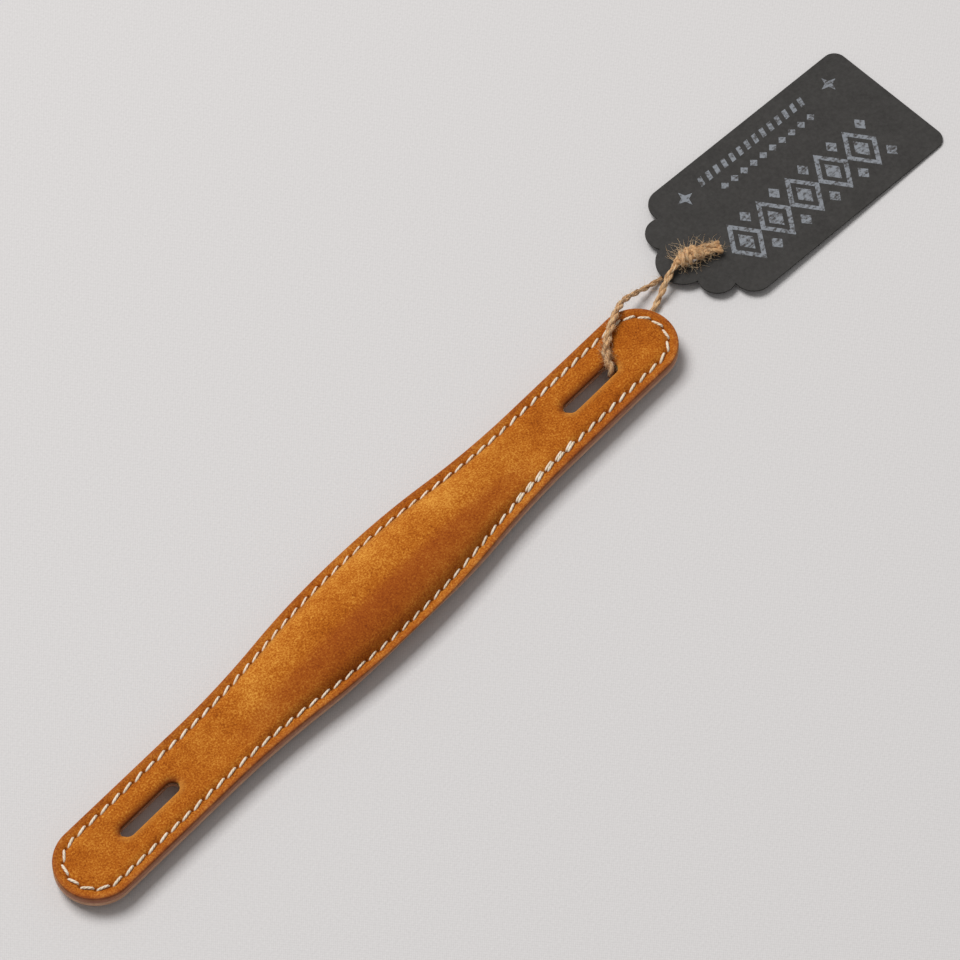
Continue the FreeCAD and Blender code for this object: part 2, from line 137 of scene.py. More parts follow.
# %% Turn a net into a piece
FOLD_ANGLE = math.radians(50)


def make_piece(name, points, faces, marks=None, lay=None):
    """A mesh object from points and faces. marks are numbers on the points, lay is UV at faces' corners."""
    mesh = bpy.data.meshes.new(name)
    mesh.from_pydata(points.tolist(), [], faces)
    rest = mesh.attributes.new("rest", "FLOAT_VECTOR", "POINT")
    rest.data.foreach_set("vector", points.astype(np.float32).ravel())
    for mark, values in (marks or {}).items():
        attribute = mesh.attributes.new(mark, "FLOAT", "POINT")
        attribute.data.foreach_set("value", values.astype(np.float32))
    if lay is not None:
        mesh.uv_layers.new(name="lay").data.foreach_set("uv", lay.astype(np.float32).ravel())
    mesh.polygons.foreach_set("use_smooth", np.ones(len(mesh.polygons), bool))
    mesh.set_sharp_from_angle(angle=FOLD_ANGLE)
    piece = bpy.data.objects.new(name, mesh)
    bpy.context.scene.collection.objects.link(piece)
    print(name, len(mesh.vertices), "points", len(mesh.polygons), "faces")
    return piece


# %% Faces between rows and columns of points
def net_faces(rows, columns):
    """Faces of a net of rows x columns points, anticlockwise where columns run to the right of rows."""
    index = np.arange(rows * columns).reshape(rows, columns)
    corners = [index[:-1, :-1], index[:-1, 1:], index[1:, 1:], index[1:, :-1]]
    return np.stack(corners, axis=-1).reshape(-1, 4)


def weld(points, faces):
    """Joins points that lie within a ten-thousandth of a millimetre of each other."""
    grid = np.round(points / (1e-4 * MM)).astype(np.int64)
    _, first, where = np.unique(grid, axis=0, return_index=True, return_inverse=True)
    return points[first], where.reshape(-1)[faces]


def join_nets(nets):
    """Several nets as one, welded along the lines where they meet."""
    starts = np.cumsum([0] + [len(points) for points, _ in nets[:-1]])
    points = np.concatenate([points for points, _ in nets])
    faces = np.concatenate([faces + start for start, (_, faces) in zip(starts, nets)])
    return weld(points, faces)


# %% Round tubes along many lines at once
def tubes(centres, radii, sides, reference):
    """Tubes about lines x stations x 3 centres. Each ring stands square to its line, turned to a reference.

    A ring's point is centre + radius * (cos a * side + sin a * over), where side is the reference crossed
    with the line's direction, and over is that direction crossed with side.
    """
    lines, stations = centres.shape[:2]
    along = np.gradient(centres, axis=1)
    along /= np.linalg.norm(along, axis=-1, keepdims=True)
    side = np.cross(np.broadcast_to(reference, along.shape), along)
    side /= np.linalg.norm(side, axis=-1, keepdims=True)
    over = np.cross(along, side)
    angle = 2 * np.pi * np.arange(sides) / sides
    ring = np.cos(angle)[:, None] * side[:, :, None] + np.sin(angle)[:, None] * over[:, :, None]
    radii = radii if radii.ndim == 3 else radii[:, :, None]
    points = (centres[:, :, None] + radii[..., None] * ring).reshape(-1, 3)
    index = np.arange(lines * stations * sides).reshape(lines, stations, sides)
    after = np.roll(index, -1, axis=2)
    walls = np.stack([index[:, :-1], after[:, :-1], after[:, 1:], index[:, 1:]], axis=-1).reshape(-1, 4)
    ends = np.concatenate([index[:, 0, ::-1], index[:, -1]])
    run = np.linalg.norm(np.diff(centres, axis=1), axis=-1)
    length = np.concatenate([np.zeros((lines, 1)), np.cumsum(run, axis=1)], axis=1)
    around = np.broadcast_to(np.arange(sides) / sides, (lines, stations - 1, sides))
    begin = np.broadcast_to(length[:, :-1, None], around.shape)
    finish = np.broadcast_to(length[:, 1:, None], around.shape)
    next_round = around + 1 / sides
    corners = [(around, begin), (next_round, begin), (next_round, finish), (around, finish)]
    lay = np.stack([np.stack(corner, axis=-1) for corner in corners], axis=-2).reshape(-1, 2)
    lay = np.concatenate([lay, np.zeros((ends.size, 2))])
    return points, walls.tolist() + ends.tolist(), lay


def unit(vector):
    """The same direction, one long."""
    vector = np.asarray(vector, float)
    return vector / np.linalg.norm(vector, axis=-1, keepdims=True)


def travel_along(line):
    """How far along a line each of its points is."""
    return np.concatenate([[0], np.cumsum(np.linalg.norm(np.diff(line, axis=0), axis=1))])


# %% [markdown]
# ## The twine's route
#
# The twine is one loop of limp jute, 110 mm from the knot and back to it. From the knot on the tag it drops
# to the table, runs under the tab, comes up through the slot, lies over the leather and the round end, and
# goes back under the tag and up through its hole. The knot is tied round both ends. The route is a list of
# places, and a smooth spline is drawn through their pull.

# %% Lay the route and read its centre line
TWINE_ROUTE = [
    (144.2, 10.6, 5.0), (140.6, 10.0, 4.6), (136.6, 9.0, 4.0), (132.6, 7.7, 2.2), (128.6, 6.6, 1.1),
    (123.5, 5.3, 0.86), (117.2, 4.3, 0.84), (110.8, 2.9, 0.85), (105.2, 0.9, 0.84), (100.4, -1.0, 0.86),
    (100.0, -1.1, 8.4), (102.4, 2.9, 8.5), (106.2, 6.1, 8.8), (111.0, 8.5, 9.2), (115.3, 10.5, 9.0),
    (119.0, 12.0, 7.9), (122.9, 13.0, 6.0), (127.4, 12.9, 4.0), (132.0, 12.4, 2.3), (136.6, 12.0, 1.15),
    (141.0, 11.5, 0.86), (145.0, 10.7, 0.84), (148.6, 10.2, 0.9), (148.6, 10.15, 4.8),
]
TWINE_SIDE = np.array([0.62, -0.78, 0.0])


def centre_line(route, spacing):
    """Evenly spaced points on the smooth spline that a route of control points gives."""
    curve = bpy.data.curves.new("route", "CURVE")
    curve.dimensions = "3D"
    curve.resolution_u = 16
    spline = curve.splines.new("NURBS")
    spline.points.add(len(route) - 1)
    for point, place in zip(spline.points, route):
        point.co = (*(number * MM for number in place), 1)
    spline.order_u = 3
    spline.use_endpoint_u = True
    holder = bpy.data.objects.new("route", curve)
    line = bpy.data.meshes.new_from_object(holder)
    points = np.array([vertex.co for vertex in line.vertices], float)
    bpy.data.objects.remove(holder)
    travel = travel_along(points)
    even = np.linspace(0, travel[-1], max(4, round(travel[-1] / spacing) + 1))
    return np.stack([np.interp(even, travel, points[:, axis]) for axis in range(3)], axis=1)


twine_line = centre_line(TWINE_ROUTE, 0.25 * MM)
twine_travel = travel_along(twine_line)[-1]
print("twine length", round(twine_travel / MM, 1), "mm in", len(twine_line), "points")

# %% [markdown]
# ## The strap's outline
#
# Half of one side is a quarter of the outline: it swings in from the grip on one arc and out again on a
# second of the same size, runs straight beside the tab, and goes round the end as a quarter circle. All
# nets follow the seam, which is that outline set in by 2.9 mm, so that stitches and leather always agree.

# %% Walk along the seam
STEP_IN = GRIP_HALF - TAB_HALF
SIDE_RADIUS = ((TAPER / 2) ** 2 + (STEP_IN / 2) ** 2) / STEP_IN
SIDE_TURN = math.asin(TAPER / 2 / SIDE_RADIUS)
TAB_CENTRE = TIP - TAB_HALF
WALK_RADII = (SIDE_RADIUS - SEAM_INSET, SIDE_RADIUS + SEAM_INSET, TAB_HALF - SEAM_INSET)
WALK_LENGTHS = (WALK_RADII[0] * SIDE_TURN, WALK_RADII[1] * SIDE_TURN, TAB_CENTRE - TAPER,
                WALK_RADII[2] * math.pi / 2)
QUARTER = sum(WALK_LENGTHS)


def walk(travel):
    """Place on the seam and outward direction after so much travel from mid grip, +Y side, round the end.

    Each arc adds radius * (sin, cos - 1) of its own turn, and the direction leans by the turns so far.
    """
    back = travel > QUARTER
    left = np.where(back, 2 * QUARTER - travel, travel)
    parts = []
    for length in WALK_LENGTHS:
        parts.append(np.clip(left, 0, length))
        left = left - parts[-1]
    inward, outward, straight, end = parts
    first = inward / WALK_RADII[0]
    second = outward / WALK_RADII[1]
    third = end / WALK_RADII[2]
    x = WALK_RADII[0] * np.sin(first) + straight + WALK_RADII[2] * np.sin(third)
    x = x + WALK_RADII[1] * (math.sin(SIDE_TURN) - np.sin(SIDE_TURN - second))
    y = GRIP_HALF - SEAM_INSET + WALK_RADII[0] * (np.cos(first) - 1) + WALK_RADII[2] * (np.cos(third) - 1)
    y = y - WALK_RADII[1] * (np.cos(SIDE_TURN - second) - math.cos(SIDE_TURN))
    lean = first - second + third
    side = np.where(back, -1.0, 1.0)
    place = np.stack([x, side * y], axis=-1)
    facing = np.stack([np.sin(lean), side * np.cos(lean)], axis=-1)
    return place, facing


fine_travel = np.linspace(0, QUARTER, 4000)
fine_x = walk(fine_travel)[0][:, 0]


def travel_at(x):
    """How far along the seam the walk reaches a given x."""
    return float(np.interp(x, fine_x, fine_travel))


print("quarter of the seam", round(QUARTER / MM, 2), "mm, side arcs of", round(SIDE_RADIUS / MM, 1), "mm")

# %% Holes along the seam
GRIP_STITCHES = 14
TAB_STITCHES = 29
HINGE_TRAVEL = travel_at(HINGE)
to_hinge = np.linspace(0, HINGE_TRAVEL, GRIP_STITCHES + 1)
round_tab = np.linspace(HINGE_TRAVEL, 2 * QUARTER - HINGE_TRAVEL, TAB_STITCHES + 1)
HOLES = np.concatenate([to_hinge[:-1], round_tab, 2 * QUARTER - to_hinge[-2::-1]])
ZONE_STITCH = 8
ZONE_TRAVEL = (ZONE_STITCH + 0.5) * to_hinge[1]
hole_places = walk(HOLES)[0]
print(len(HOLES), "holes in half the seam, pitch", round(to_hinge[1] / MM, 2), "mm")

# %% [markdown]
# ## How far in from the edge
#
# The rim's rounding, the seam's groove and the padding's foot all lie at a fixed distance in from the edge,
# and the slot's lip at a fixed distance from the slot. Two functions give those distances for any point.

# %% Distances from the edge and from the slot
def half_width(x):
    """Half the strap's width at x, and how much its side leans there, as a cosine."""
    reach = np.abs(x)
    inward = np.minimum(reach, TAPER / 2)
    outward = np.clip(TAPER - reach, 0, TAPER / 2)
    first = GRIP_HALF - SIDE_RADIUS + np.sqrt(SIDE_RADIUS**2 - inward**2)
    second = TAB_HALF + SIDE_RADIUS - np.sqrt(SIDE_RADIUS**2 - outward**2)
    near = reach < TAPER / 2
    width = np.where(near, first, second)
    cosine = np.sqrt(1 - (np.where(near, inward, outward) / SIDE_RADIUS) ** 2)
    return width, cosine


def from_edge(x, y):
    """Distance in from the outer edge: across the side's lean, or from the round end's circle."""
    width, cosine = half_width(x)
    beside = (width - np.abs(y)) * cosine
    at_end = TAB_HALF - np.hypot(np.abs(x) - TAB_CENTRE, y)
    return np.maximum(np.where(np.abs(x) > TAB_CENTRE, at_end, beside), 0)


def from_slot(x, y):
    """Distance out from the slot's edge, which is a straight run with a half circle at each end."""
    beyond = np.maximum(np.abs(np.abs(x) - SLOT_MIDDLE) - SLOT_REACH, 0)
    return np.maximum(np.hypot(beyond, y) - SLOT_HALF, 0)


# %% [markdown]
# ## The shape of the leather
#
# The top leather is wet-formed over the pad, so it rises just inside the seam in a steep round shoulder and
# runs out flat towards the tabs. The seam pulls it down into a groove, and every needle hole is a small
# dimple. The lower leather does the same over a thinner pad, and is flat where it rests.

# %% Rounding, crown and groove
RIM_ROUND = 0.55 * MM
LIP_ROUND = 0.35 * MM
CROWN_FOOT = 3.4 * MM
STACK = COVER_TOP - BACKING_BASE
EASED = 0.15 * MM
HOLE_WIDTH, HOLE_SINK = 0.42 * MM, 0.4 * MM
GROOVE_OUTER, GROOVE_INNER = 1.75 * MM, 1.25 * MM
GROOVE_DEPTH, THREAD_DENT = 0.78 * MM, 0.14 * MM
RIM_WIDTH, RIM_DROP = 1.5 * MM, 0.32 * MM
LIP_WIDTH, LIP_DROP = 0.9 * MM, 0.75 * MM
LIP_LEAN_ALONG, LIP_LEAN_ACROSS = 0.45 * MM, 0.5 * MM
TUCK, TUCK_REACH = 1.7 * MM, 26 * MM
UNEVENNESS = 0.07 * MM
BACKING_RIM, BACKING_LIP = 0.3 * MM, 0.4 * MM
POCKET_ROOM, POCKET_WALL, POCKET_SPARE = 0.6 * MM, 0.4 * MM, 0.1 * MM


def rounding(distance, radius):
    """How far a rounded corner has dropped at a distance in from its edge: a quarter circle."""
    inside = np.clip(radius - distance, 0, radius)
    return radius - np.sqrt(radius**2 - inside**2)


def bell(distance, width):
    """A bell curve: 1 at no distance, and down to 0.37 at its width."""
    return np.exp(-((distance / width) ** 2))


def arch(x):
    """The padding's rise along the strap: 1 at mid grip, and 0 from the outer bends onwards."""
    return np.clip(1 - np.abs(x / HINGE) ** 2.4, 0, 1) ** 1.3


def swell(x, y):
    """The padding's height, 0 to 1: a flat-topped arch along the strap times a round arch across it."""
    foot = half_width(x)[0] - CROWN_FOOT
    across = np.clip(1 - np.abs(y / foot) ** 2.2, 0, 1) ** 0.6
    return arch(x) * across


def ripple(x, y, seed, waves=9):
    """Slow unevenness between about -1 and 1: a sum of waves 15 to 50 mm long in random directions."""
    random = np.random.default_rng(seed)
    turn = random.uniform(0, 2 * np.pi, (waves, 1))
    number = 2 * np.pi / (random.uniform(15, 50, (waves, 1)) * MM)
    shift = random.uniform(0, 2 * np.pi, (waves, 1))
    total = np.sin(number * (np.cos(turn) * x + np.sin(turn) * y) + shift).sum(axis=0)
    return total / math.sqrt(waves)


def hole_depth(x, y):
    """1 at a needle hole, falling to 0 within a millimetre: the nearest hole's bell curve."""
    far = np.full(np.shape(x), 1.0)
    for place in hole_places:
        far = np.minimum(far, np.hypot(np.abs(x) - place[0], y - place[1]))
        far = np.minimum(far, np.hypot(np.abs(x) - place[0], y + place[1]))
    return bell(far, HOLE_WIDTH)


def groove(x, y):
    """How deep the thread has pulled the leather: a wide dip, wider towards the edge, round a narrow one."""
    off = from_edge(x, y) - SEAM_INSET
    wide = np.where(off < 0, GROOVE_OUTER, GROOVE_INNER)
    return GROOVE_DEPTH * bell(off, wide) + THREAD_DENT * bell(off, HOLE_WIDTH)


def lip_side(y):
    """1 on the slot's +Y side, where the lip has been worn down, and 0 on the other."""
    return np.clip(0.5 + y / (2.2 * MM), 0, 1)


def worn_lip(points):
    """Leans the cover's worn lip in over the slot as it sinks, by up to half a millimetre."""
    x, y, z = points.T
    near = bell(from_slot(x, y), LIP_WIDTH) * (z > COVER_BASE + 0.2 * MM)
    inwards = np.sign(x) * np.clip((np.abs(x) - SLOT_MIDDLE) / SLOT_REACH, -1, 1) ** 5
    return np.column_stack([x - LIP_LEAN_ALONG * near * inwards, y - LIP_LEAN_ACROSS * near * lip_side(y), z])


def undercut(points):
    """Tucks the wall in under the rim over the grip: most at its foot, fading along it as a bell curve."""
    x, y, z = points.T
    reach = np.clip(1 - from_edge(x, y) / SEAM_INSET, 0, 1) * bell(x, TUCK_REACH)
    tuck = TUCK * reach * np.clip((COVER_TOP - z) / STACK, 0, 1)
    return np.column_stack([x, y - np.sign(y) * tuck, z])


# %% Upper and lower faces of each leather
def cover_top(x, y):
    """The suede's upper face: level, less the rim's rounding, groove, holes and lip, plus the swell."""
    inset = from_edge(x, y)
    lip = from_slot(x, y)
    height = COVER_TOP - rounding(inset, RIM_ROUND) - groove(x, y) - HOLE_SINK * hole_depth(x, y)
    height = height - RIM_DROP * bell(inset, RIM_WIDTH) - rounding(lip, LIP_ROUND)
    height = height - LIP_DROP * lip_side(y) * bell(lip, LIP_WIDTH)
    inside = np.clip((inset - SEAM_INSET) / (3 * MM), 0, 1)
    return height + CROWN * swell(x, y) + UNEVENNESS * inside * ripple(x, y, 5)


def pad_rise(x, y):
    """The pad's share of the swell, 0 to 1: the same arch along, and a half ellipse across."""
    half = PAD_HALF * np.sqrt(np.clip(1 - (x / PAD_REACH) ** 2, 1e-9, 1))
    return arch(x) * np.sqrt(np.clip(1 - (y / half) ** 2, 0, 1))


def cover_base(x, y):
    """The suede's lower face: level, with a hollow for the pad."""
    return COVER_BASE + rounding(from_edge(x, y), EASED) + 0.98 * CROWN * pad_rise(x, y)


def filler_top(x, y):
    """The filler's upper face, with its corner eased."""
    return COVER_BASE - rounding(from_edge(x, y), EASED)


def filler_base(x, y):
    """The filler's lower face, with a pocket for the spring strip."""
    across = np.clip((STRIP_HALF + POCKET_ROOM - np.abs(y)) / POCKET_WALL, 0, 1)
    along = np.clip((STRIP_REACH + POCKET_ROOM - np.abs(x)) / POCKET_WALL, 0, 1)
    pocket = (STRIP_TOP - FILLER_BASE + POCKET_SPARE) * across * along
    return FILLER_BASE + rounding(from_edge(x, y), EASED) + pocket


BELLY = BACKING_BASE + 0.4 * MM


def backing_top(x, y):
    """The lower leather's upper face: level, with a hollow for the lower pad."""
    hollow = 0.96 * LOWER_PAD * pad_rise(x, y)
    return FILLER_BASE - rounding(from_edge(x, y), EASED) - hollow


def backing_base(x, y):
    """The lower leather's lower face: the belly swells down and is flat where it rests."""
    inset = from_edge(x, y)
    lip = rounding(from_slot(x, y), BACKING_LIP)
    height = BACKING_BASE + rounding(inset, BACKING_RIM) + 0.5 * groove(x, y) + lip
    return np.maximum(height - BELLY * swell(x, y), 0)


# %% [markdown]
# ## One net for all the layers
#
# Every layer has the same outline and the same slots, so one flat net serves them all and is lifted to each
# layer's faces. Over the grip and up to the slot its rows run straight across. Beyond that a band follows
# the rim round the end, and a ring of faces closes in on the slot.

# %% Columns from the edge inwards
RIM_COLUMNS = MM * np.array([
    0, 0.02, 0.08, 0.18, 0.34, 0.55, 0.85, 1.2, 1.6, 1.95, 2.25, 2.47, 2.68, 2.9,
    3.12, 3.32, 3.5, 3.7, 3.95, 4.3, 4.8,
])
LIP_ROWS = MM * np.array([1.9, 1.2, 0.8, 0.5, 0.28, 0.12, 0.03, 0])
RING_START = 74 * MM


def band_points(travel, columns):
    """Points at the columns' distances in from the edge, for each travel along the seam."""
    place, facing = walk(travel)
    return place[:, None] + (SEAM_INSET - columns)[:, None] * facing[:, None]


def cross_points(travel, columns, inner):
    """Rows straight across the strap, from the +Y edge to the -Y edge."""
    upper = band_points(travel, columns)
    lower = upper[:, ::-1] * (1, -1)
    share = np.linspace(0, 1, inner + 2)[1:-1, None]
    middle = upper[:, -1:] * (1 - share) + lower[:, :1] * share
    return np.concatenate([upper, middle, lower], axis=1)


def as_net(points):
    """A block of rows and columns of points as a net."""
    return points.reshape(-1, 2), net_faces(*points.shape[:2])


def ring_net(outer, half, lip_rows, steps):
    """A ring from a closed outer line in to the slot's outline, each row on the slot's own normal."""
    centre = np.clip(outer[:, 0], SLOT_MIDDLE - SLOT_REACH, SLOT_MIDDLE + SLOT_REACH)
    centre = np.stack([centre, np.zeros(len(outer))], axis=1)
    normal = unit(outer - centre)
    room = np.linalg.norm(outer - centre, axis=1) - half
    share = np.linspace(1, 0, steps, endpoint=False)
    far = lip_rows[0] + share[None] * (room - lip_rows[0])[:, None]
    reach = np.concatenate([far, np.broadcast_to(lip_rows, (len(outer), len(lip_rows)))], axis=1)
    points = centre[:, None] + (half + reach)[..., None] * normal[:, None]
    return as_net(np.concatenate([points, points[:1]]))


# %% Nets of the middle and of an end
def middle_net(spacing, columns, inner):
    """The grip between the two zone borders, one block of rows."""
    count = round(2 * ZONE_TRAVEL / spacing)
    travel = np.linspace(-ZONE_TRAVEL, ZONE_TRAVEL, count + 1)
    points = cross_points(np.abs(travel), columns, inner)
    points[..., 0] *= np.where(travel < 0, -1, 1)[:, None]
    return as_net(points)


def end_net(spacing, columns, inner):
    """One end of the strap: rows up to the slot, a band round the end, and a ring round the slot."""
    ring_travel = travel_at(RING_START)
    rows = np.linspace(ZONE_TRAVEL, ring_travel, round((ring_travel - ZONE_TRAVEL) / spacing) + 1)
    block = cross_points(rows, columns, inner)
    round_end = np.linspace(ring_travel, 2 * QUARTER - ring_travel,
                            round((2 * QUARTER - 2 * ring_travel) / spacing) + 1)
    band = band_points(round_end, columns)
    closing = block[-1, len(columns):-len(columns)][::-1]
    outer = np.concatenate([band[:, -1], closing])
    return join_nets([as_net(block), as_net(band), ring_net(outer, SLOT_HALF, LIP_ROWS, 7)])


def flip(net):
    """The same net at the other end of the strap, its faces turned to stay the right way up."""
    points, faces = net
    return points * (-1, 1), faces[:, ::-1]


# %% Lift a net into a closed layer
def rim_edges(faces):
    """The edges that only one face has, each in that face's own direction."""
    edges = np.concatenate([faces[:, [side, (side + 1) % 4]] for side in range(4)])
    _, first, count = np.unique(np.sort(edges, axis=1), axis=0, return_index=True, return_counts=True)
    return edges[first[count == 1]]


def lift(net, top, base, bulge, rows=5):
    """A closed solid between two heights over a net. Its walls bulge outwards by half a sine wave."""
    flat, faces = net
    count = len(flat)
    rim = rim_edges(faces)
    corners = np.unique(rim)
    slot_of = np.full(count, -1)
    slot_of[corners] = np.arange(len(corners))
    run = flat[rim[:, 1]] - flat[rim[:, 0]]
    inner_cut = np.abs(run[:, 0]) < 1e-4 * MM
    outward = np.stack([run[:, 1], -run[:, 0]], axis=1) * ~inner_cut[:, None]
    facing = np.zeros((len(corners), 2))
    np.add.at(facing, slot_of[rim[:, 0]], outward)
    np.add.at(facing, slot_of[rim[:, 1]], outward)
    facing /= np.maximum(np.linalg.norm(facing, axis=1, keepdims=True), 1e-9)
    high = np.column_stack([flat, top(flat[:, 0], flat[:, 1])])
    low = np.column_stack([flat, base(flat[:, 0], flat[:, 1])])
    share = (np.arange(1, rows) / rows)[:, None]
    wall_flat = flat[corners] + (bulge * np.sin(np.pi * share))[..., None] * facing
    wall_height = high[corners, 2] * (1 - share) + low[corners, 2] * share
    wall = np.concatenate([wall_flat, wall_height[..., None]], axis=-1).reshape(-1, 3)
    middle_rows = 2 * count + np.arange((rows - 1) * len(corners)).reshape(rows - 1, len(corners))
    ladder = np.concatenate([corners[None], middle_rows, corners[None] + count])
    start, stop = slot_of[rim[:, 0]], slot_of[rim[:, 1]]
    walls = [ladder[:-1, stop], ladder[:-1, start], ladder[1:, start], ladder[1:, stop]]
    walls = np.stack(walls, axis=-1).reshape(-1, 4)
    points = np.concatenate([high, low, wall])
    side = np.concatenate([np.zeros(2 * count), np.ones(len(wall))])
    return points, np.concatenate([faces, faces[:, ::-1] + count, walls]), side


# %% [markdown]
# ## Zones
#
# The strap bends at three places. Each layer is therefore made in three lengths that meet where the strap
# stays stiff, each covering one bend.

# %% Name the zones
ZONES = {
    "end_a": {"bodies": ("tab_a", "grip_a"), "bend": (-80, -44), "lengths": ("tab_a",)},
    "middle": {"bodies": ("grip_a", "grip_b"), "bend": (-30, 30), "lengths": ("grip_a", "grip_b")},
    "end_b": {"bodies": ("grip_b", "tab_b"), "bend": (44, 80), "lengths": ("tab_b",)},
}


def fit(piece, zone, kind):
    """Bakes a piece's place into its points. It stands for the frame's lengths of that kind there, which are
    hidden.
    """
    spec = ZONES[zone]
    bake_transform(piece)
    if kind:
        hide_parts(*(f"{kind}_{length}" for length in spec["lengths"]))
    return piece


def zone_nets(spacing, columns, inner):
    """The three zones' nets at one fineness."""
    end = end_net(spacing, columns, inner)
    return {"end_a": flip(end), "middle": middle_net(spacing, columns, inner), "end_b": end}


# %% [markdown]
# ## The leathers
#
# The cover is the piece that everybody sees, so its net is fine enough for the needle holes. Each point
# carries five marks for its colour later: how burnished it is, how deep in a hole or the seam for painted
# shade there, painted shade on the slot's +Y lip and walls, a painted highlight on its -Y lip, and painted
# light and shade over the grip's swell.

# %% Make the cover, the filler and the backing
BURNISH_REACH = 0.5 * MM


def leather_marks(points, side):
    """Marks for the finish: burnished rim, and painted shade and highlights at holes, seam, slot lips and
    swell.
    """
    x, y = points[:, 0], points[:, 1]
    inset, lip = from_edge(x, y), from_slot(x, y)
    on_rim = side * (inset < BURNISH_REACH)
    burnish = np.maximum(on_rim, np.clip(1 - inset / BURNISH_REACH, 0, 1) ** 2)
    burnish = np.maximum(burnish, 0.32 * bell(inset, 1.2 * MM))
    # Painted shade: darker in needle holes and, a little, in the seam's groove.
    shade = np.clip(hole_depth(x, y) + 0.12 * groove(x, y) / (GROOVE_DEPTH + THREAD_DENT), 0, 1)
    # Painted shade: darker on the slot's +Y lip, which leans away from the lamp, and on the slot's walls.
    worn = np.maximum(bell(lip, 0.8 * MM) * lip_side(y), side * (lip < BURNISH_REACH))
    # Painted highlight: paler on the slot's -Y lip, which faces the lamp.
    rubbed = bell(lip, 1.1 * MM) * (1 - lip_side(y)) * (1 - side)
    # Painted light and shade over the swell: paler on the +Y side, which faces the lamp, darker on the -Y
    # side.
    brushed = swell(x, y) ** 0.5 * np.sin(np.clip(y / (0.55 * GRIP_HALF), -0.35, 1.4)) * (1 - side)
    return {"burnish": burnish, "shade": shade, "worn": worn, "rubbed": rubbed, "brushed": brushed}


def make_layer(kind, top, base, nets, bulge):
    """One layer of leather in its three lengths."""
    made = []
    for zone, net in nets.items():
        points, faces, side = lift(net, top, base, bulge)
        marks = leather_marks(points, side)
        shaped = undercut(worn_lip(points) if kind == "top_cover" else points)
        piece = make_piece(f"{kind}_{zone}", shaped, faces.tolist(), marks)
        made.append(fit(piece, zone, kind))
    return made


COARSE_COLUMNS = MM * np.array([0, 0.05, 0.15, 0.4, 0.7, 1.2, 1.9, 2.4, 2.9, 3.4, 4.0, 4.5])
cover_pieces = make_layer("top_cover", cover_top, cover_base, zone_nets(0.34 * MM, RIM_COLUMNS, 30),
                          0.04 * MM)
coarse_nets = zone_nets(0.9 * MM, COARSE_COLUMNS, 24)
filler_pieces = make_layer("filler", filler_top, filler_base, coarse_nets, 0.06 * MM)
backing_pieces = make_layer("backing", backing_top, backing_base, coarse_nets, 0.05 * MM)

# %% [markdown]
# ## What the leathers hide
#
# A ribbon of spring steel gives the strap its life, and two felt pads give the grip its swell. They are out
# of sight, but they fill the room between the leathers, so they are made in the same three lengths.

# %% The spring strip
STRIP_SLOT_HALF = SLOT_HALF + 0.3 * MM
STRIP_ROWS = MM * np.array([0.4, 0.1, 0])
STRIP_COLUMNS = 9
ZONE_X = float(walk(np.array([ZONE_TRAVEL]))[0][0, 0])


def strip_block(low_x, high_x, rows):
    """A plain length of the ribbon, its rows straight across."""
    across = np.linspace(STRIP_HALF, -STRIP_HALF, STRIP_COLUMNS)
    return np.stack(np.meshgrid(np.linspace(low_x, high_x, rows), across, indexing="ij"), axis=-1)


def strip_end_net():
    """One end of the ribbon: a plain block, then a ring from its round end in to the slot."""
    block = strip_block(ZONE_X, RING_START, 20)
    straight = np.linspace(RING_START, STRIP_REACH - STRIP_HALF, 16)
    turn = np.linspace(0, np.pi, 21)[1:-1]
    end = np.stack([STRIP_REACH - STRIP_HALF + STRIP_HALF * np.sin(turn), STRIP_HALF * np.cos(turn)], axis=1)
    there = np.stack([straight, np.full(len(straight), STRIP_HALF)], axis=1)
    back = np.stack([straight[::-1], np.full(len(straight), -STRIP_HALF)], axis=1)
    outer = np.concatenate([there, end, back, block[-1, -2:0:-1]])
    return join_nets([as_net(block), ring_net(outer, STRIP_SLOT_HALF, STRIP_ROWS, 3)])


def strip_middle_net():
    """The ribbon under the grip, a plain block."""
    return as_net(strip_block(-ZONE_X, ZONE_X, 60))


def level(height):
    """A face that is the same height everywhere."""
    return lambda x, y: np.full(np.shape(x), height)


strip_nets = {"end_a": flip(strip_end_net()), "middle": strip_middle_net(), "end_b": strip_end_net()}
strip_pieces = make_layer("spring_strip", level(STRIP_TOP), level(FILLER_BASE + 0.01 * MM), strip_nets, 0)

# %% The felt pads
PAD_ROWS, PAD_COLUMNS = 60, 25
PAD_EDGE = 0.02 * MM


def pad_net(low_x, high_x):
    """A pad's plan between two places along it: rows across an ellipse."""
    x = np.linspace(low_x, high_x, PAD_ROWS)
    half = PAD_HALF * np.sqrt(np.clip(1 - (x / PAD_REACH) ** 2, 0.01, 1))
    y = half[:, None] * np.cos(np.linspace(0, np.pi, PAD_COLUMNS))
    return as_net(np.stack([np.broadcast_to(x[:, None], y.shape), y], axis=-1))


PAD_FACES = {
    "top_pad": (lambda x, y: COVER_BASE + PAD_EDGE + 0.95 * CROWN * pad_rise(x, y), level(COVER_BASE)),
    "bottom_pad": (level(FILLER_BASE),
                   lambda x, y: FILLER_BASE - PAD_EDGE - 0.9 * LOWER_PAD * pad_rise(x, y)),
}
PAD_NETS = {
    "end_a": pad_net(-PAD_REACH, -ZONE_X),
    "middle": pad_net(-ZONE_X, ZONE_X),
    "end_b": pad_net(ZONE_X, PAD_REACH),
}
pad_pieces = []
for kind, (top, base) in PAD_FACES.items():
    for zone, net in PAD_NETS.items():
        points, faces, _ = lift(net, top, base, 0, rows=1)
        pad = make_piece(f"{kind}_{zone}", points, faces.tolist())
        pad_pieces.append(fit(pad, zone, kind if zone == "middle" else None))

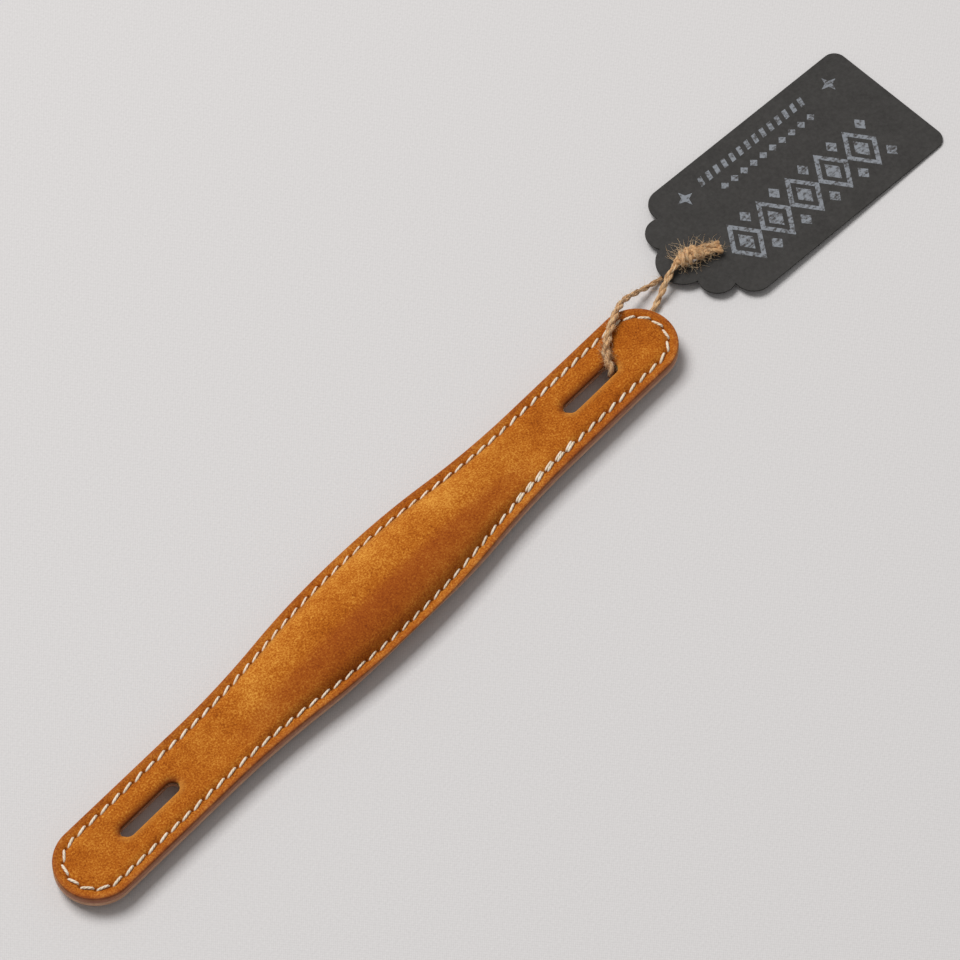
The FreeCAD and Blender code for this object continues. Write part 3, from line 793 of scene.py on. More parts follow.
# %% [markdown]
# ## The stitches
#
# A lockstitch lies on the leather between two holes and dives into both, and a mirror row of the lower
# thread does the same underneath. Each stitch leans some 13 degrees across the seam, as the needle's
# chisel point cuts slanted holes. Nothing machine-made is quite even, so each one is a little different.

# %% One stitch, many times
THREAD_RADIUS = 0.43 * MM
REACH = np.array([-1.0, -0.98, -0.9, -0.7, -0.3, 0.3, 0.7, 0.9, 0.98, 1.0])
SINK = MM * np.array([-1.2, -0.6, -0.22, -0.02, 0.06, 0.06, -0.02, -0.22, -0.6, -1.2])
GIRTH = np.array([0.6, 0.62, 0.74, 0.94, 1.0, 1.0, 0.94, 0.74, 0.62, 0.6])
STITCH_SIDES = 8
LEAN = math.radians(13)
SEAM_LEVEL = COVER_TOP - 0.62 * MM
HALF_SHARE = 0.405
SLIMMING, SLIM_REACH = 0.24, 45 * MM
BOBBIN_RADIUS = 0.36 * MM
UP = np.array([0, 0, 1.0])


def stitch_lines(starts, ends, level_of, up, random, beside=0.0):
    """Centre lines of stitches from hole to hole, shortened a little, leaning, and diving at both ends."""
    middle = (starts + ends) / 2
    run = ends - starts
    length = np.linalg.norm(run, axis=1)
    lean = LEAN + math.radians(2.2) * random.standard_normal(len(run))
    cosine, sine = np.cos(lean)[:, None], np.sin(lean)[:, None]
    way = unit(run)
    way = way * cosine + np.stack([-way[:, 1], way[:, 0]], axis=1) * sine
    middle = middle + np.stack([-way[:, 1], way[:, 0]], axis=1) * beside
    half = length * (HALF_SHARE + 0.012 * random.standard_normal(len(run)))
    flat = middle[:, None] + REACH[None, :, None] * half[:, None, None] * way[:, None]
    height = level_of + up * SINK[None] + 0.03 * MM * random.standard_normal((len(run), 1))
    return np.concatenate([flat, np.broadcast_to(height[..., None], (*flat.shape[:2], 1))], axis=-1)


def zone_stitches(zone):
    """Where each stitch of a zone starts and ends, always anticlockwise round the strap's half."""
    last = len(HOLES) - 1
    if zone == "middle":
        ranges = [(0, ZONE_STITCH + 1), (last - ZONE_STITCH - 1, last)]
        halves = [(1, 1), (-1, 1)]
    else:
        ranges = [(ZONE_STITCH + 1, last - ZONE_STITCH - 1)]
        halves = [(1, 1) if zone == "end_b" else (-1, 1)]
    starts = [hole_places[a:b] * half for half in halves for a, b in ranges]
    ends = [hole_places[a + 1:b + 1] * half for half in halves for a, b in ranges]
    return np.concatenate(starts), np.concatenate(ends)


def sew(name, lines, radii):
    """Thread along the stitches' centre lines, as one piece."""
    points, faces, lay = tubes(lines, radii, STITCH_SIDES, UP)
    return make_piece(name, points, faces, lay=lay)


# %% Sew the seam
thread_random = np.random.default_rng(11)
THREADS = {
    "needle_thread": (SEAM_LEVEL, 1, THREAD_RADIUS),
    "bobbin_thread": (BACKING_BASE + 0.12 * MM, -1, BOBBIN_RADIUS),
}
thread_pieces = []
for kind, (height, up, radius) in THREADS.items():
    for zone in ZONES:
        starts, ends = zone_stitches(zone)
        lines = stitch_lines(starts, ends, height, up, thread_random)
        radii = radius * GIRTH * (1 - SLIMMING * bell(lines[..., 0], SLIM_REACH))
        piece = sew(f"{kind}_{zone}", lines, radii)
        thread_pieces.append(fit(piece, zone, kind))

# %% [markdown]
# The seam was started and finished on one side near a tab, where six stitches are sewn twice. The
# second thread lies beside the first.

# %% Sew the back-tack
BACKTACK = slice(-17, -11)
TACK_RADIUS, TACK_BESIDE = 0.4 * MM, -0.7 * MM
tack_starts, tack_ends = hole_places[:-1][BACKTACK], hole_places[1:][BACKTACK]
lines = stitch_lines(tack_starts, tack_ends, SEAM_LEVEL + 0.06 * MM, 1, thread_random, beside=TACK_BESIDE)
backtack = sew("backtack_thread_end_b", lines, TACK_RADIUS * GIRTH * np.ones(lines.shape[:2]))
fit(backtack, "end_b", None)
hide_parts("backtack_thread_grip_b", "backtack_thread_tab_b")
thread_pieces.append(backtack)
print("back-tack from x", tack_starts[:, 0].min() / MM, "to", tack_starts[:, 0].max() / MM)

# %% [markdown]
# ## The twine
#
# Jute twine is two plies laid round each other, each a bundle of coarse fibres. The plies are ridged tubes
# that wind about the twine's line. Finer tubes laid along them are the fibres that show, and loose fibres
# stand off them like down.

# %% Lay two plies round a line
PLY_PITCH = 8.5 * MM
PLY_SIDES = 14


def frame_along(line):
    """The side and over directions along a line, square to it."""
    along = unit(np.gradient(line, axis=0))
    side = unit(np.cross(np.broadcast_to(TWINE_SIDE, along.shape), along))
    return side, np.cross(along, side)


def swing(side, over, angle):
    """Directions square to a line, turned by an angle from its side towards its over direction."""
    return np.cos(angle)[..., None] * side + np.sin(angle)[..., None] * over


def plies(line, offset, radius, pitch=PLY_PITCH):
    """Two ridged plies half a turn apart. offset and radius are one number each, or one per point."""
    side, over = frame_along(line)
    turn = 2 * np.pi * travel_along(line) / pitch
    angle = 2 * np.pi * np.arange(PLY_SIDES) / PLY_SIDES
    centres, radii = [], []
    for ply in (0, np.pi):
        centres.append(line + np.reshape(offset, (-1, 1)) * swing(side, over, turn + ply))
        ridge = 0.09 * np.sin(5 * angle - 2.3 * turn[:, None] + ply)
        ridge = ridge + 0.06 * np.sin(3 * angle + 1.7 * turn[:, None])
        ridge = ridge + 0.05 * np.sin(0.9 * turn + ply)[:, None]
        radii.append(np.reshape(radius, (-1, 1)) * (1 + ridge))
    return np.stack(centres), np.stack(radii)


# %% Lay fibres round the plies
FIBRE_RADIUS = 0.075 * MM
FIBRE_REST = 0.1 * MM
FIBRE_SIDES = 3
CORE_TONE = 0.3


def yarn(line, offset, radius, count, seed, pitch=PLY_PITCH):
    """Centre lines of fibres. Each keeps its own angle on its ply and wanders in and out of its surface."""
    random = np.random.default_rng(seed)
    side, over = frame_along(line)
    turn = 2 * np.pi * travel_along(line) / pitch
    ply = np.repeat([0, np.pi], count)[:, None]
    own = random.uniform(0, 2 * np.pi, (2 * count, 1)) - random.uniform(0.7, 1.6, (2 * count, 1)) * turn
    rate, start = random.uniform(0.5, 2.2, (2 * count, 1)), random.uniform(0, 2 * np.pi, (2 * count, 1))
    wander = 0.92 + 0.2 * np.sin(rate * turn + start)
    on_ply = line + np.reshape(offset, (-1, 1)) * swing(side, over, turn + ply)
    return on_ply + (np.reshape(radius, (-1, 1)) * wander[..., None]) * swing(side, over, own)


def join_parts(parts):
    """Several tube meshes as one, with each part's tones."""
    faces, start = [], 0
    for points, part_faces, _, _ in parts:
        faces += [[corner + start for corner in face] for face in part_faces]
        start += len(points)
    points, lay, tones = (np.concatenate([part[at] for part in parts]) for at in (0, 2, 3))
    return points, faces, lay, tones


def strand_part(centres, radii, sides, tones, reference=TWINE_SIDE):
    """Tubes with a tone for each of their lines."""
    points, faces, lay = tubes(centres, radii, sides, reference)
    return points, faces, lay, np.repeat(tones, centres.shape[1] * sides)


def core_part(line, offset, radius, pitch=PLY_PITCH, reference=TWINE_SIDE):
    """The two plies along a line."""
    return strand_part(*plies(line, offset, radius, pitch), PLY_SIDES, np.full(2, CORE_TONE), reference)


def fibre_part(line, offset, radius, count, seed, pitch=PLY_PITCH, reference=TWINE_SIDE):
    """The fibres that show on the plies, so many on each, kept clear of the table."""
    random = np.random.default_rng(seed + 1000)
    centres = yarn(line, offset, radius, count, seed, pitch)
    centres[..., 2] = np.maximum(centres[..., 2], FIBRE_REST)
    radii = FIBRE_RADIUS * random.uniform(0.6, 1.3, (2 * count, 1)) * np.ones(centres.shape[:2])
    return strand_part(centres, radii, FIBRE_SIDES, random.uniform(0, 1, 2 * count), reference)


def strand(line, offset, radius, count, seed, **lay):
    """Two plies and the fibres on them."""
    return [core_part(line, offset, radius, **lay), fibre_part(line, offset, radius, count, seed, **lay)]


def make_strands(name, parts):
    """One piece from strand parts."""
    points, faces, lay, tones = join_parts(parts)
    return make_piece(name, points, faces, {"tone": tones}, lay)


# %% The loop
share = np.linspace(0, 1, len(twine_line))
slack = np.interp(share, [0, 0.08, 0.2, 0.42, 0.5, 0.62, 0.72, 0.8, 1],
                  [1.1, 1.3, 1.0, 1.0, 1.6, 1.5, 1.1, 0.95, 1.0])
twine = make_strands("twine", [core_part(twine_line, 0.36 * MM * slack, 0.40 * MM * slack)])
wraps = fibre_part(twine_line[::2], 0.36 * MM * slack[::2], 0.45 * MM * slack[::2], 26, 41)
twine_fibres = make_strands("twine_fibres", [wraps])

# %% [markdown]
# ## The knot
#
# Both ends of the loop are tied together in one fat overhand knot. Three strands run through its middle,
# two more are wound round them on opposite slants, and two short tails lie side by side.

# %% Tie the knot
KNOT_MIDDLE = MM * np.array([147.2, 9.4, 4.95])
KNOT_WAY = unit([0.954, -0.299, 0.0])
KNOT_ACROSS = np.cross(UP, KNOT_WAY)


def in_knot(along, across, above):
    """A place from its distances along the knot, across it and above its middle."""
    return (KNOT_MIDDLE + np.multiply.outer(along, KNOT_WAY) + np.multiply.outer(across, KNOT_ACROSS)
            + np.multiply.outer(above, UP))


def knot_wrap(turns, start, stop, half, high, slant):
    """A strand wound round the knot: a flattened coil that leans by a slant along its way across."""
    turn = np.linspace(0, 2 * np.pi * turns, round(60 * turns))
    along = np.linspace(start, stop, len(turn)) + slant * np.cos(turn)
    return in_knot(along, half * np.cos(turn), high * np.sin(turn))


def knot_core(across, above, stop):
    """A strand along the knot with a gentle bow."""
    along = np.linspace(-4.6 * MM, stop, 46)
    bow = np.sin(np.linspace(0, np.pi, 46))
    return in_knot(along, across * (0.4 + 0.6 * bow), above * bow)


knot_lines = [
    (knot_wrap(2.4, -2.9 * MM, 1.9 * MM, 1.72 * MM, 1.42 * MM, 0.9 * MM), 0.44, 0.50),
    (knot_wrap(1.9, 0.9 * MM, 3.4 * MM, 1.95 * MM, 1.3 * MM, -0.8 * MM), 0.42, 0.48),
    (knot_core(0.8 * MM, 0.5 * MM, 3.9 * MM), 0.42, 0.58),
    (knot_core(-0.9 * MM, 0.0 * MM, 3.9 * MM), 0.46, 0.66),
    (knot_core(-0.5 * MM, -0.6 * MM, 3.2 * MM), 0.40, 0.56),
]
parts = []
for number, (line, offset, radius) in enumerate(knot_lines):
    parts += strand(line, offset * MM, radius * MM, 18, 50 + number, reference=unit([0.31, 0.4, 0.86]))
knot = make_strands("knot", parts)

# %% The tails
TAIL_ROUTES = [
    [(149.9, 9.2, 5.0), (152.2, 8.2, 5.2), (154.4, 6.8, 4.9), (156.5, 5.6, 4.6)],
    [(149.6, 7.6, 4.7), (151.6, 6.7, 4.7), (153.7, 5.4, 4.5), (155.9, 4.1, 4.2)],
]
tail_lines = [centre_line(route, 0.2 * MM) for route in TAIL_ROUTES]
parts = []
for number, line in enumerate(tail_lines):
    fray = np.interp(np.linspace(0, 1, len(line)), [0, 0.5, 1], [1, 1.05, 1.3])
    parts += strand(line, 0.42 * MM * fray, 0.52 * MM * fray, 26, 60 + number, pitch=8 * MM)
tails = make_strands("tails", parts)

# %% Loose fibres
FIBRE_STATIONS = 9


def fibres(name, roots, ways, lengths, floor, seed, radius, curl=1.5, tones=(0.3, 1.0)):
    """Thin curly hairs. Each is an arc of its own total turn T, with a bend that grows as s cubed.

    Its place is root + length * (way * sin(T s) / T + across * (1 - cos(T s)) / T), for s from 0 to 1.
    """
    random = np.random.default_rng(seed)
    step = np.linspace(0, 1, FIBRE_STATIONS)[None, :, None]
    length = lengths[:, None, None]
    turn = (curl * random.standard_normal((len(roots), 1, 1))) + 0.05
    across = unit(np.cross(ways, random.standard_normal(ways.shape)))[:, None]
    bend = 0.12 * random.standard_normal((len(roots), 1, 3)) * step**3
    arc_way = ways[:, None] * np.sin(turn * step) / turn + across * (1 - np.cos(turn * step)) / turn
    lines = roots[:, None] + length * (arc_way + bend)
    lines[..., 2] = np.maximum(lines[..., 2], floor)
    radii = radius * (1 - 0.5 * step[..., 0]) * np.ones(lines.shape[:2])
    shades = random.uniform(*tones, len(roots))
    return make_strands(name, [strand_part(lines, radii, FIBRE_SIDES, shades, unit([0.21, 0.53, 0.82]))])


def stray(line, count, lift, out, seed):
    """Roots and ways of fibres that stand off a line: mostly along it, partly outwards."""
    random = np.random.default_rng(seed)
    pick = random.integers(1, len(line) - 1, count)
    side, over = frame_along(line)
    along = unit(np.gradient(line, axis=0))
    outward = swing(side[pick], over[pick], random.uniform(0, 2 * np.pi, count))
    forward = along[pick] * random.choice([-1.0, 1.0], (count, 1))
    ways = unit(out * outward + forward * random.uniform(0.2, 1.0, (count, 1)))
    return line[pick] + lift * outward, ways


def fuzz(name, line, count, lift, out, reach, floor, seed, radius, tones=(0.3, 1.0)):
    """Stray fibres of random lengths, in millimetres, along a line."""
    roots, ways = stray(line, count, lift * MM, out, seed)
    lengths = np.random.default_rng(seed + 50).uniform(*reach, count) * MM
    return fibres(name, roots, ways, lengths, floor * MM, seed + 100, radius * MM, tones=tones)


knot_axis = in_knot(np.linspace(-4.2 * MM, 3.8 * MM, 40), np.zeros(40), np.zeros(40))
twine_x, twine_z = twine_line[:, 0], twine_line[:, 2]
over_slot = twine_line[(twine_x > 99 * MM) & (twine_x < 106 * MM) & (twine_z > 7 * MM)]
over_leather = twine_line[(twine_x < 118 * MM) & (twine_z > 8 * MM)]
fuzz_pieces = [
    fuzz("knot_fuzz", knot_axis, 150, 1.7, 1.0, (1.5, 5.5), 3.0, 21, 0.045),
    fuzz("tail_fuzz_1", tail_lines[0], 90, 0.7, 0.7, (1.0, 3.6), 3.0, 22, 0.045),
    fuzz("tail_fuzz_2", tail_lines[1], 90, 0.7, 0.7, (1.0, 3.6), 3.0, 23, 0.045),
    fuzz("slot_fuzz", over_slot, 170, 0.7, 0.9, (0.8, 3.2), 7.5, 24, 0.05, (-0.5, 0.1)),
    fuzz("leather_fuzz", over_leather, 70, 0.8, 0.5, (1.0, 4.0), 7.5, 25, 0.04, (-0.2, 0.4)),
    fuzz("twine_fuzz", twine_line, 170, 0.7, 0.5, (0.8, 3.0), 0.05, 26, 0.035),
]

# %% Put the twine, knot and tails in place
for piece in (twine, twine_fibres, knot, tails, *fuzz_pieces):
    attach(piece, "tab_b")
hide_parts("twine_loop")
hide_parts("twine_knot")
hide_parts("twine_tails")

# %% [markdown]
# ## The swing tag
#
# The tag is a die-cut card: square at one end, with two scallops each side of a round nose at the other,
# and a hole in the nose. Its outline is a handful of arcs, filled flat, given a thickness, and then laid on
# the twine with a slight tilt, just as the frame's tag lies.

# %% Cut the card
TAG_TILT = math.radians(1.25)
TAG_HEADING = math.radians(-4)
TAG_PIVOT = MM * np.array([148.6, 10.2, 2.0])
CARD = 0.6 * MM
TAG_REACH = 87
TAG_SIDE = 23.5


def arc(centre, radius, first, last, count=14):
    """Points on an arc from one angle to another, in degrees."""
    angle = np.radians(np.linspace(first, last, count))
    return np.stack([centre[0] + radius * np.cos(angle), centre[1] + radius * np.sin(angle)], axis=1)


def tag_outline():
    """The card's edge in millimetres from its hole: nose, flank and shoulder scallops, and square end."""
    upper = np.concatenate([
        arc((-3, 0), 8, 180, 100.8),
        arc((0.5, 10.8), 5.8, 210.4, 65.6, 22),
        arc((9, 17.3), 6.2, 191.3, 90, 18),
        arc((TAG_REACH - 4, TAG_SIDE - 4), 4, 90, 0),
    ])
    return np.concatenate([upper, upper[:0:-1] * (1, -1)])


def flat_plate(name, loops, thickness, edge, above):
    """Loops filled flat, inner loops as holes, made a mesh and laid with the tag's tilt and heading."""
    curve = bpy.data.curves.new(name, "CURVE")
    curve.dimensions = "2D"
    curve.fill_mode = "BOTH"
    curve.extrude = thickness / 2 - edge
    curve.bevel_depth = edge
    curve.offset = -edge
    for loop in loops:
        spline = curve.splines.new("POLY")
        spline.points.add(len(loop) - 1)
        spline.use_cyclic_u = True
        for point, place in zip(spline.points, loop):
            point.co = (*(number * MM for number in place), 0, 1)
    holder = bpy.data.objects.new(name, curve)
    mesh = bpy.data.meshes.new_from_object(holder)
    bpy.data.objects.remove(holder)
    mesh.name = name
    places = np.empty(len(mesh.vertices) * 3)
    mesh.vertices.foreach_get("co", places)
    x, y, z = places.reshape(-1, 3).T
    z = z + above + thickness / 2
    tilted = np.stack([x * math.cos(TAG_TILT) + z * math.sin(TAG_TILT), y,
                       z * math.cos(TAG_TILT) - x * math.sin(TAG_TILT)])
    turned = np.stack([tilted[0] * math.cos(TAG_HEADING) - tilted[1] * math.sin(TAG_HEADING),
                       tilted[0] * math.sin(TAG_HEADING) + tilted[1] * math.cos(TAG_HEADING), tilted[2]])
    laid = turned.T + TAG_PIVOT
    rest = mesh.attributes.new("rest", "FLOAT_VECTOR", "POINT")
    rest.data.foreach_set("vector", np.stack([x, y, z], axis=1).astype(np.float32).ravel())
    mesh.vertices.foreach_set("co", laid.ravel())
    mesh.update()
    piece = bpy.data.objects.new(name, mesh)
    bpy.context.scene.collection.objects.link(piece)
    print(name, len(mesh.vertices), "points")
    return piece


card = flat_plate("tag_card", [tag_outline(), arc((0, 0), 2.5, 0, 345, 24)], CARD, 0.06 * MM, 0)
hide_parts("hang_tag")


# %% Print the ornament
def lozenge(x, y, half_x, half_y):
    """A diamond standing on its corner."""
    return np.array([(x - half_x, y), (x, y + half_y), (x + half_x, y), (x, y - half_y)])


def bar(x, y, half_x, half_y, skew=0.0):
    """A small upright bar, leaning by its skew."""
    return np.array([(x - half_x - skew, y - half_y), (x + half_x - skew, y - half_y),
                     (x + half_x + skew, y + half_y), (x - half_x + skew, y + half_y)])


def star(x, y, size):
    """A four-pointed star."""
    angle = np.arange(8) * np.pi / 4
    reach = np.where(np.arange(8) % 2 == 0, size, 0.38 * size)
    return np.stack([x + reach * np.cos(angle), y + reach * np.sin(angle)], axis=1)


LOZENGE_STEP = 12.4
ink_loops = []
for x in np.arange(16, 78, LOZENGE_STEP):
    ink_loops += [lozenge(x, -8, *halves) for halves in ((6.2, 8.4), (4.4, 6.0), (2.6, 3.6))]
for x in np.arange(22.2, 72, LOZENGE_STEP):
    ink_loops += [lozenge(x, y, 2.0, 2.4) for y in (-1.4, -14.6)]
for x in np.arange(22, 68, 3.3):
    ink_loops.append(bar(x, 16.6, 0.8, 1.5, 0.5))
for x in np.arange(26, 64, 4.1):
    ink_loops.append(lozenge(x, 10.6, 1.5, 1.5))
ink_loops += [star(14, 15.5, 3.0), star(76, 15.5, 3.0)]
ink = flat_plate("tag_print", ink_loops, 0.02 * MM, 0, CARD)
for piece in (card, ink):
    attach(piece, "hang_tag")

# %% [markdown]
# ## Finishes
#
# A finish is a tree of nodes. Writing it as sums is far easier to read, so one small class stands for a
# socket and turns + - * / into Math nodes, and one method adds any other node.

# %% Sockets that can be added up
class Wire:
    """An output of a node. Arithmetic on it adds Math nodes to its finish."""

    def __init__(self, finish, socket):
        self.finish = finish
        self.socket = socket

    def __add__(self, other):
        return self.finish.maths("ADD", self, other)

    def __radd__(self, other):
        return self.finish.maths("ADD", other, self)

    def __sub__(self, other):
        return self.finish.maths("SUBTRACT", self, other)

    def __rsub__(self, other):
        return self.finish.maths("SUBTRACT", other, self)

    def __mul__(self, other):
        return self.finish.maths("MULTIPLY", self, other)

    def __rmul__(self, other):
        return self.finish.maths("MULTIPLY", other, self)

    def clipped(self):
        """Kept between 0 and 1."""
        return self.finish.node("ShaderNodeClamp", {}, {"Value": self})

    def sine(self):
        """The sine of this number."""
        return self.finish.maths("SINE", self)


class Finish:
    """A material with a Principled shader, and short ways to add nodes to it."""

    def __init__(self, name, **fixed):
        self.material = bpy.data.materials.new(name)
        self.material.use_nodes = True
        self.tree = self.material.node_tree
        self.shader = self.tree.nodes["Principled BSDF"]
        for socket, value in fixed.items():
            self.shader.inputs[socket.replace("_", " ")].default_value = value

    def node(self, kind, settings, inputs, output=0):
        """Any node: its settings first, then its sockets' values or links."""
        node = self.tree.nodes.new(kind)
        for setting, value in settings.items():
            if setting == "stops":
                self.set_stops(node.color_ramp, value)
            else:
                setattr(node, setting, value)
        for socket, value in inputs.items():
            if isinstance(value, Wire):
                self.tree.links.new(value.socket, node.inputs[socket])
            else:
                node.inputs[socket].default_value = value
        return Wire(self, node.outputs[output])

    @staticmethod
    def set_stops(ramp, stops):
        """A ramp's colours at their places."""
        while len(ramp.elements) < len(stops):
            ramp.elements.new(0.5)
        for element, (place, colour) in zip(ramp.elements, stops):
            element.position = place
            element.color = colour

    def maths(self, operation, *values):
        """A Math node on values or wires."""
        return self.node("ShaderNodeMath", {"operation": operation}, dict(enumerate(values)))

    def mark(self, name, output=2):
        """A number stored on the piece's points, or a place with output 1."""
        return self.node("ShaderNodeAttribute", {"attribute_name": name}, {}, output)

    def noise(self, place, scale, detail=2.0, roughness=0.5):
        """Noise, around 0.5, with features one scale-th of a metre across."""
        inputs = {"Vector": place, "Scale": scale, "Detail": detail, "Roughness": roughness}
        return self.node("ShaderNodeTexNoise", {}, inputs)

    def ramp(self, value, stops):
        """A colour picked by a number."""
        return self.node("ShaderNodeValToRGB", {"stops": stops}, {0: value})

    def mix(self, share, first, second):
        """Two colours mixed by a share."""
        return self.node("ShaderNodeMix", {"data_type": "RGBA"}, {0: share, 6: first, 7: second}, 2)

    def stretched(self, place, scale):
        """A place scaled differently each way."""
        return self.node("ShaderNodeMapping", {}, {"Vector": place, "Scale": scale})

    def bump(self, height, distance, strength=1.0):
        """A bump from a height, over a distance in metres."""
        inputs = {"Height": height, "Distance": distance, "Strength": strength}
        return self.node("ShaderNodeBump", {}, inputs)

    def part(self, place, axis):
        """One of a place's three numbers."""
        return self.node("ShaderNodeSeparateXYZ", {}, {0: place}, axis)

    def lay(self):
        """A strand's own UV map."""
        return self.node("ShaderNodeUVMap", {"uv_map": "lay"}, {})

    def finish_with(self, **wires):
        """Links wires to the shader's own sockets."""
        for socket, wire in wires.items():
            self.tree.links.new(wire.socket, self.shader.inputs[socket.replace("_", " ")])
        return self.material


def dye(red, green, blue):
    """A colour as a dyer's card gives it, 0 to 255, in the linear form that shaders use."""
    share = np.array([red, green, blue]) / 255
    linear = np.where(share <= 0.04045, share / 12.92, ((share + 0.055) / 1.055) ** 2.4)
    return (*linear.tolist(), 1.0)


def give(material, pieces):
    """Puts one material on pieces."""
    for piece in pieces:
        piece.data.materials.clear()
        piece.data.materials.append(material)


# %% [markdown]
# ## Suede
#
# Suede is leather with its flesh side out, brushed into a nap. Its colour is cloudy at the scale of a finger
# where the nap lies differently, and speckled at the scale of a fibre. The rim is burnished dark and
# smoother. Needle holes and the seam's groove get painted shade, the slot's +Y lip and walls get painted
# shade and its -Y lip a painted highlight, and the grip's swell gets painted light and shade: paler on its
# +Y side, towards the lamp, and darker and redder on its -Y side.

# %% Suede finish
suede = Finish("suede", Roughness=0.88, Specular_IOR_Level=0.08, Sheen_Weight=0.8, Sheen_Roughness=0.36,
               Sheen_Tint=dye(255, 216, 124))
place = suede.mark("rest", 1)
cloud = suede.noise(place, 55, 3)
patch = suede.noise(place, 300, 3, 0.6)
speck = suede.noise(place, 1900, 3, 0.7)
brushed = suede.mark("brushed")
# The tone takes in the swell's painted light: paler on its +Y side, towards the lamp.
tone = 0.52 + (cloud - 0.5) * 0.5 + (patch - 0.5) * 0.35 + (speck - 0.5) * 1.35 + brushed * 0.16
nap_and_swell_light = suede.ramp(tone, [(0.12, dye(108, 48, 10)), (0.42, dye(168, 87, 20)), (0.58, dye(187, 107, 30)),
                        (0.88, dye(226, 158, 66))])
burnish = suede.mark("burnish")
shade = suede.mark("shade")
worn = suede.mark("worn")
rubbed = suede.mark("rubbed")
rim_dye = suede.ramp(patch, [(0.3, dye(112, 52, 34)), (0.7, dye(156, 88, 62))])
# Painted shade: darker and redder on the swell's -Y side, away from the lamp.
colour = suede.mix((brushed * -1.3).clipped(), nap_and_swell_light, dye(150, 66, 28))
# Painted highlight on the slot's -Y lip.
colour = suede.mix((rubbed * 0.5).clipped(), colour, dye(212, 146, 66))
# Painted shade on the slot's +Y lip and its walls.
colour = suede.mix((worn * 0.85).clipped(), colour, dye(104, 44, 20))
# Painted shade in needle holes and the seam's groove.
colour = suede.mix((shade * 0.85).clipped(), colour, dye(78, 28, 10))
colour = suede.mix((burnish * 1.1).clipped(), colour, rim_dye)
height = speck * 0.6 + patch * 0.6
give(suede.finish_with(Base_Color=colour, Roughness=0.9 - burnish * 0.35,
                       Normal=suede.bump(height, 0.16 * MM, 0.8)), cover_pieces)


# %% Edges of the filler and the backing
def edge_leather(name, dark, light, rough):
    """Pressed leather seen edge on: fibre streaks along the layer, and painted shade at needle holes and the
    seam.
    """
    leather = Finish(name, Roughness=rough, Specular_IOR_Level=0.35)
    place = leather.mark("rest", 1)
    streak = leather.noise(leather.stretched(place, (300, 300, 2500)), 1, 3, 0.6)
    grain = leather.noise(place, 1500, 3, 0.6)
    colour = leather.ramp(streak * 0.6 + grain * 0.4, [(0.3, dark), (0.7, light)])
    shade = leather.mark("shade")
    # Painted shade at needle holes and the seam.
    colour = leather.mix((shade * 0.5).clipped(), colour, dye(60, 34, 24))
    return leather.finish_with(Base_Color=colour, Normal=leather.bump(streak + grain, 0.1 * MM, 0.7))


give(edge_leather("filler_edge", dye(138, 82, 60), dye(186, 128, 100), 0.7), filler_pieces)
give(edge_leather("backing_leather", dye(170, 122, 92), dye(214, 170, 138), 0.72), backing_pieces)

# %% Steel and felt
steel = Finish("spring_steel", Metallic=1.0, Roughness=0.35)
place = steel.mark("rest", 1)
drawn = steel.noise(steel.stretched(place, (40, 4000, 400)), 1, 2)
colour = steel.ramp(drawn, [(0.3, dye(120, 122, 126)), (0.7, dye(168, 170, 174))])
give(steel.finish_with(Base_Color=colour, Roughness=0.25 + drawn * 0.25), strip_pieces)
felt = Finish("pad_felt", Roughness=0.95, Sheen_Weight=0.3)
place = felt.mark("rest", 1)
lint = felt.noise(place, 900, 4, 0.7)
colour = felt.ramp(lint, [(0.3, dye(176, 166, 148)), (0.7, dye(214, 206, 190))])
give(felt.finish_with(Base_Color=colour, Normal=felt.bump(lint, 0.3 * MM)), pad_pieces)

# %% [markdown]
# ## Thread and twine
#
# Waxed thread shows its plies as fine slanted ridges, and jute shows its fibres as streaks along each ply.
# Both patterns follow the strand, so they read the strand's own UV map: once round it one way, and its
# length in metres the other.

# %% Thread finish
thread = Finish("waxed_thread", Roughness=0.5, Specular_IOR_Level=0.4)
lay_map = thread.lay()
around, length = thread.part(lay_map, 0), thread.part(lay_map, 1)
twist = ((around * 3 + length * 900) * (2 * math.pi)).sine()
soil = thread.noise(thread.mark("rest", 1), 400, 3)
colour = thread.ramp(0.5 + twist * 0.14 + (soil - 0.5) * 0.9,
                     [(0.2, dye(206, 182, 150)), (0.5, dye(240, 224, 200)), (0.85, dye(252, 242, 226))])
give(thread.finish_with(Base_Color=colour, Normal=thread.bump(twist, 0.06 * MM, 0.8)), thread_pieces)

# %% Jute finish
jute = Finish("jute", Roughness=0.85, Sheen_Weight=0.2, Sheen_Roughness=0.4)
streak = jute.noise(jute.stretched(jute.lay(), (14, 420, 1)), 1, 4, 0.65)
tuft = jute.noise(jute.mark("rest", 1), 700, 3)
colour = jute.ramp(jute.mark("tone") * 0.55 + (streak - 0.5) * 0.7 + (tuft - 0.5) * 0.5 + 0.27,
                   [(0.05, dye(140, 94, 60)), (0.3, dye(200, 150, 100)), (0.55, dye(233, 192, 142)),
                    (0.85, dye(250, 230, 194))])
give(jute.finish_with(Base_Color=colour, Normal=jute.bump(streak, 0.2 * MM)),
     [twine, twine_fibres, knot, tails, *fuzz_pieces])

# %% [markdown]
# ## Card and ink
#
# The card is dyed through, almost black, with paper fibres that catch the light. The ink is a dry grey
# block print, so it misses the card in specks and thins out in bands.

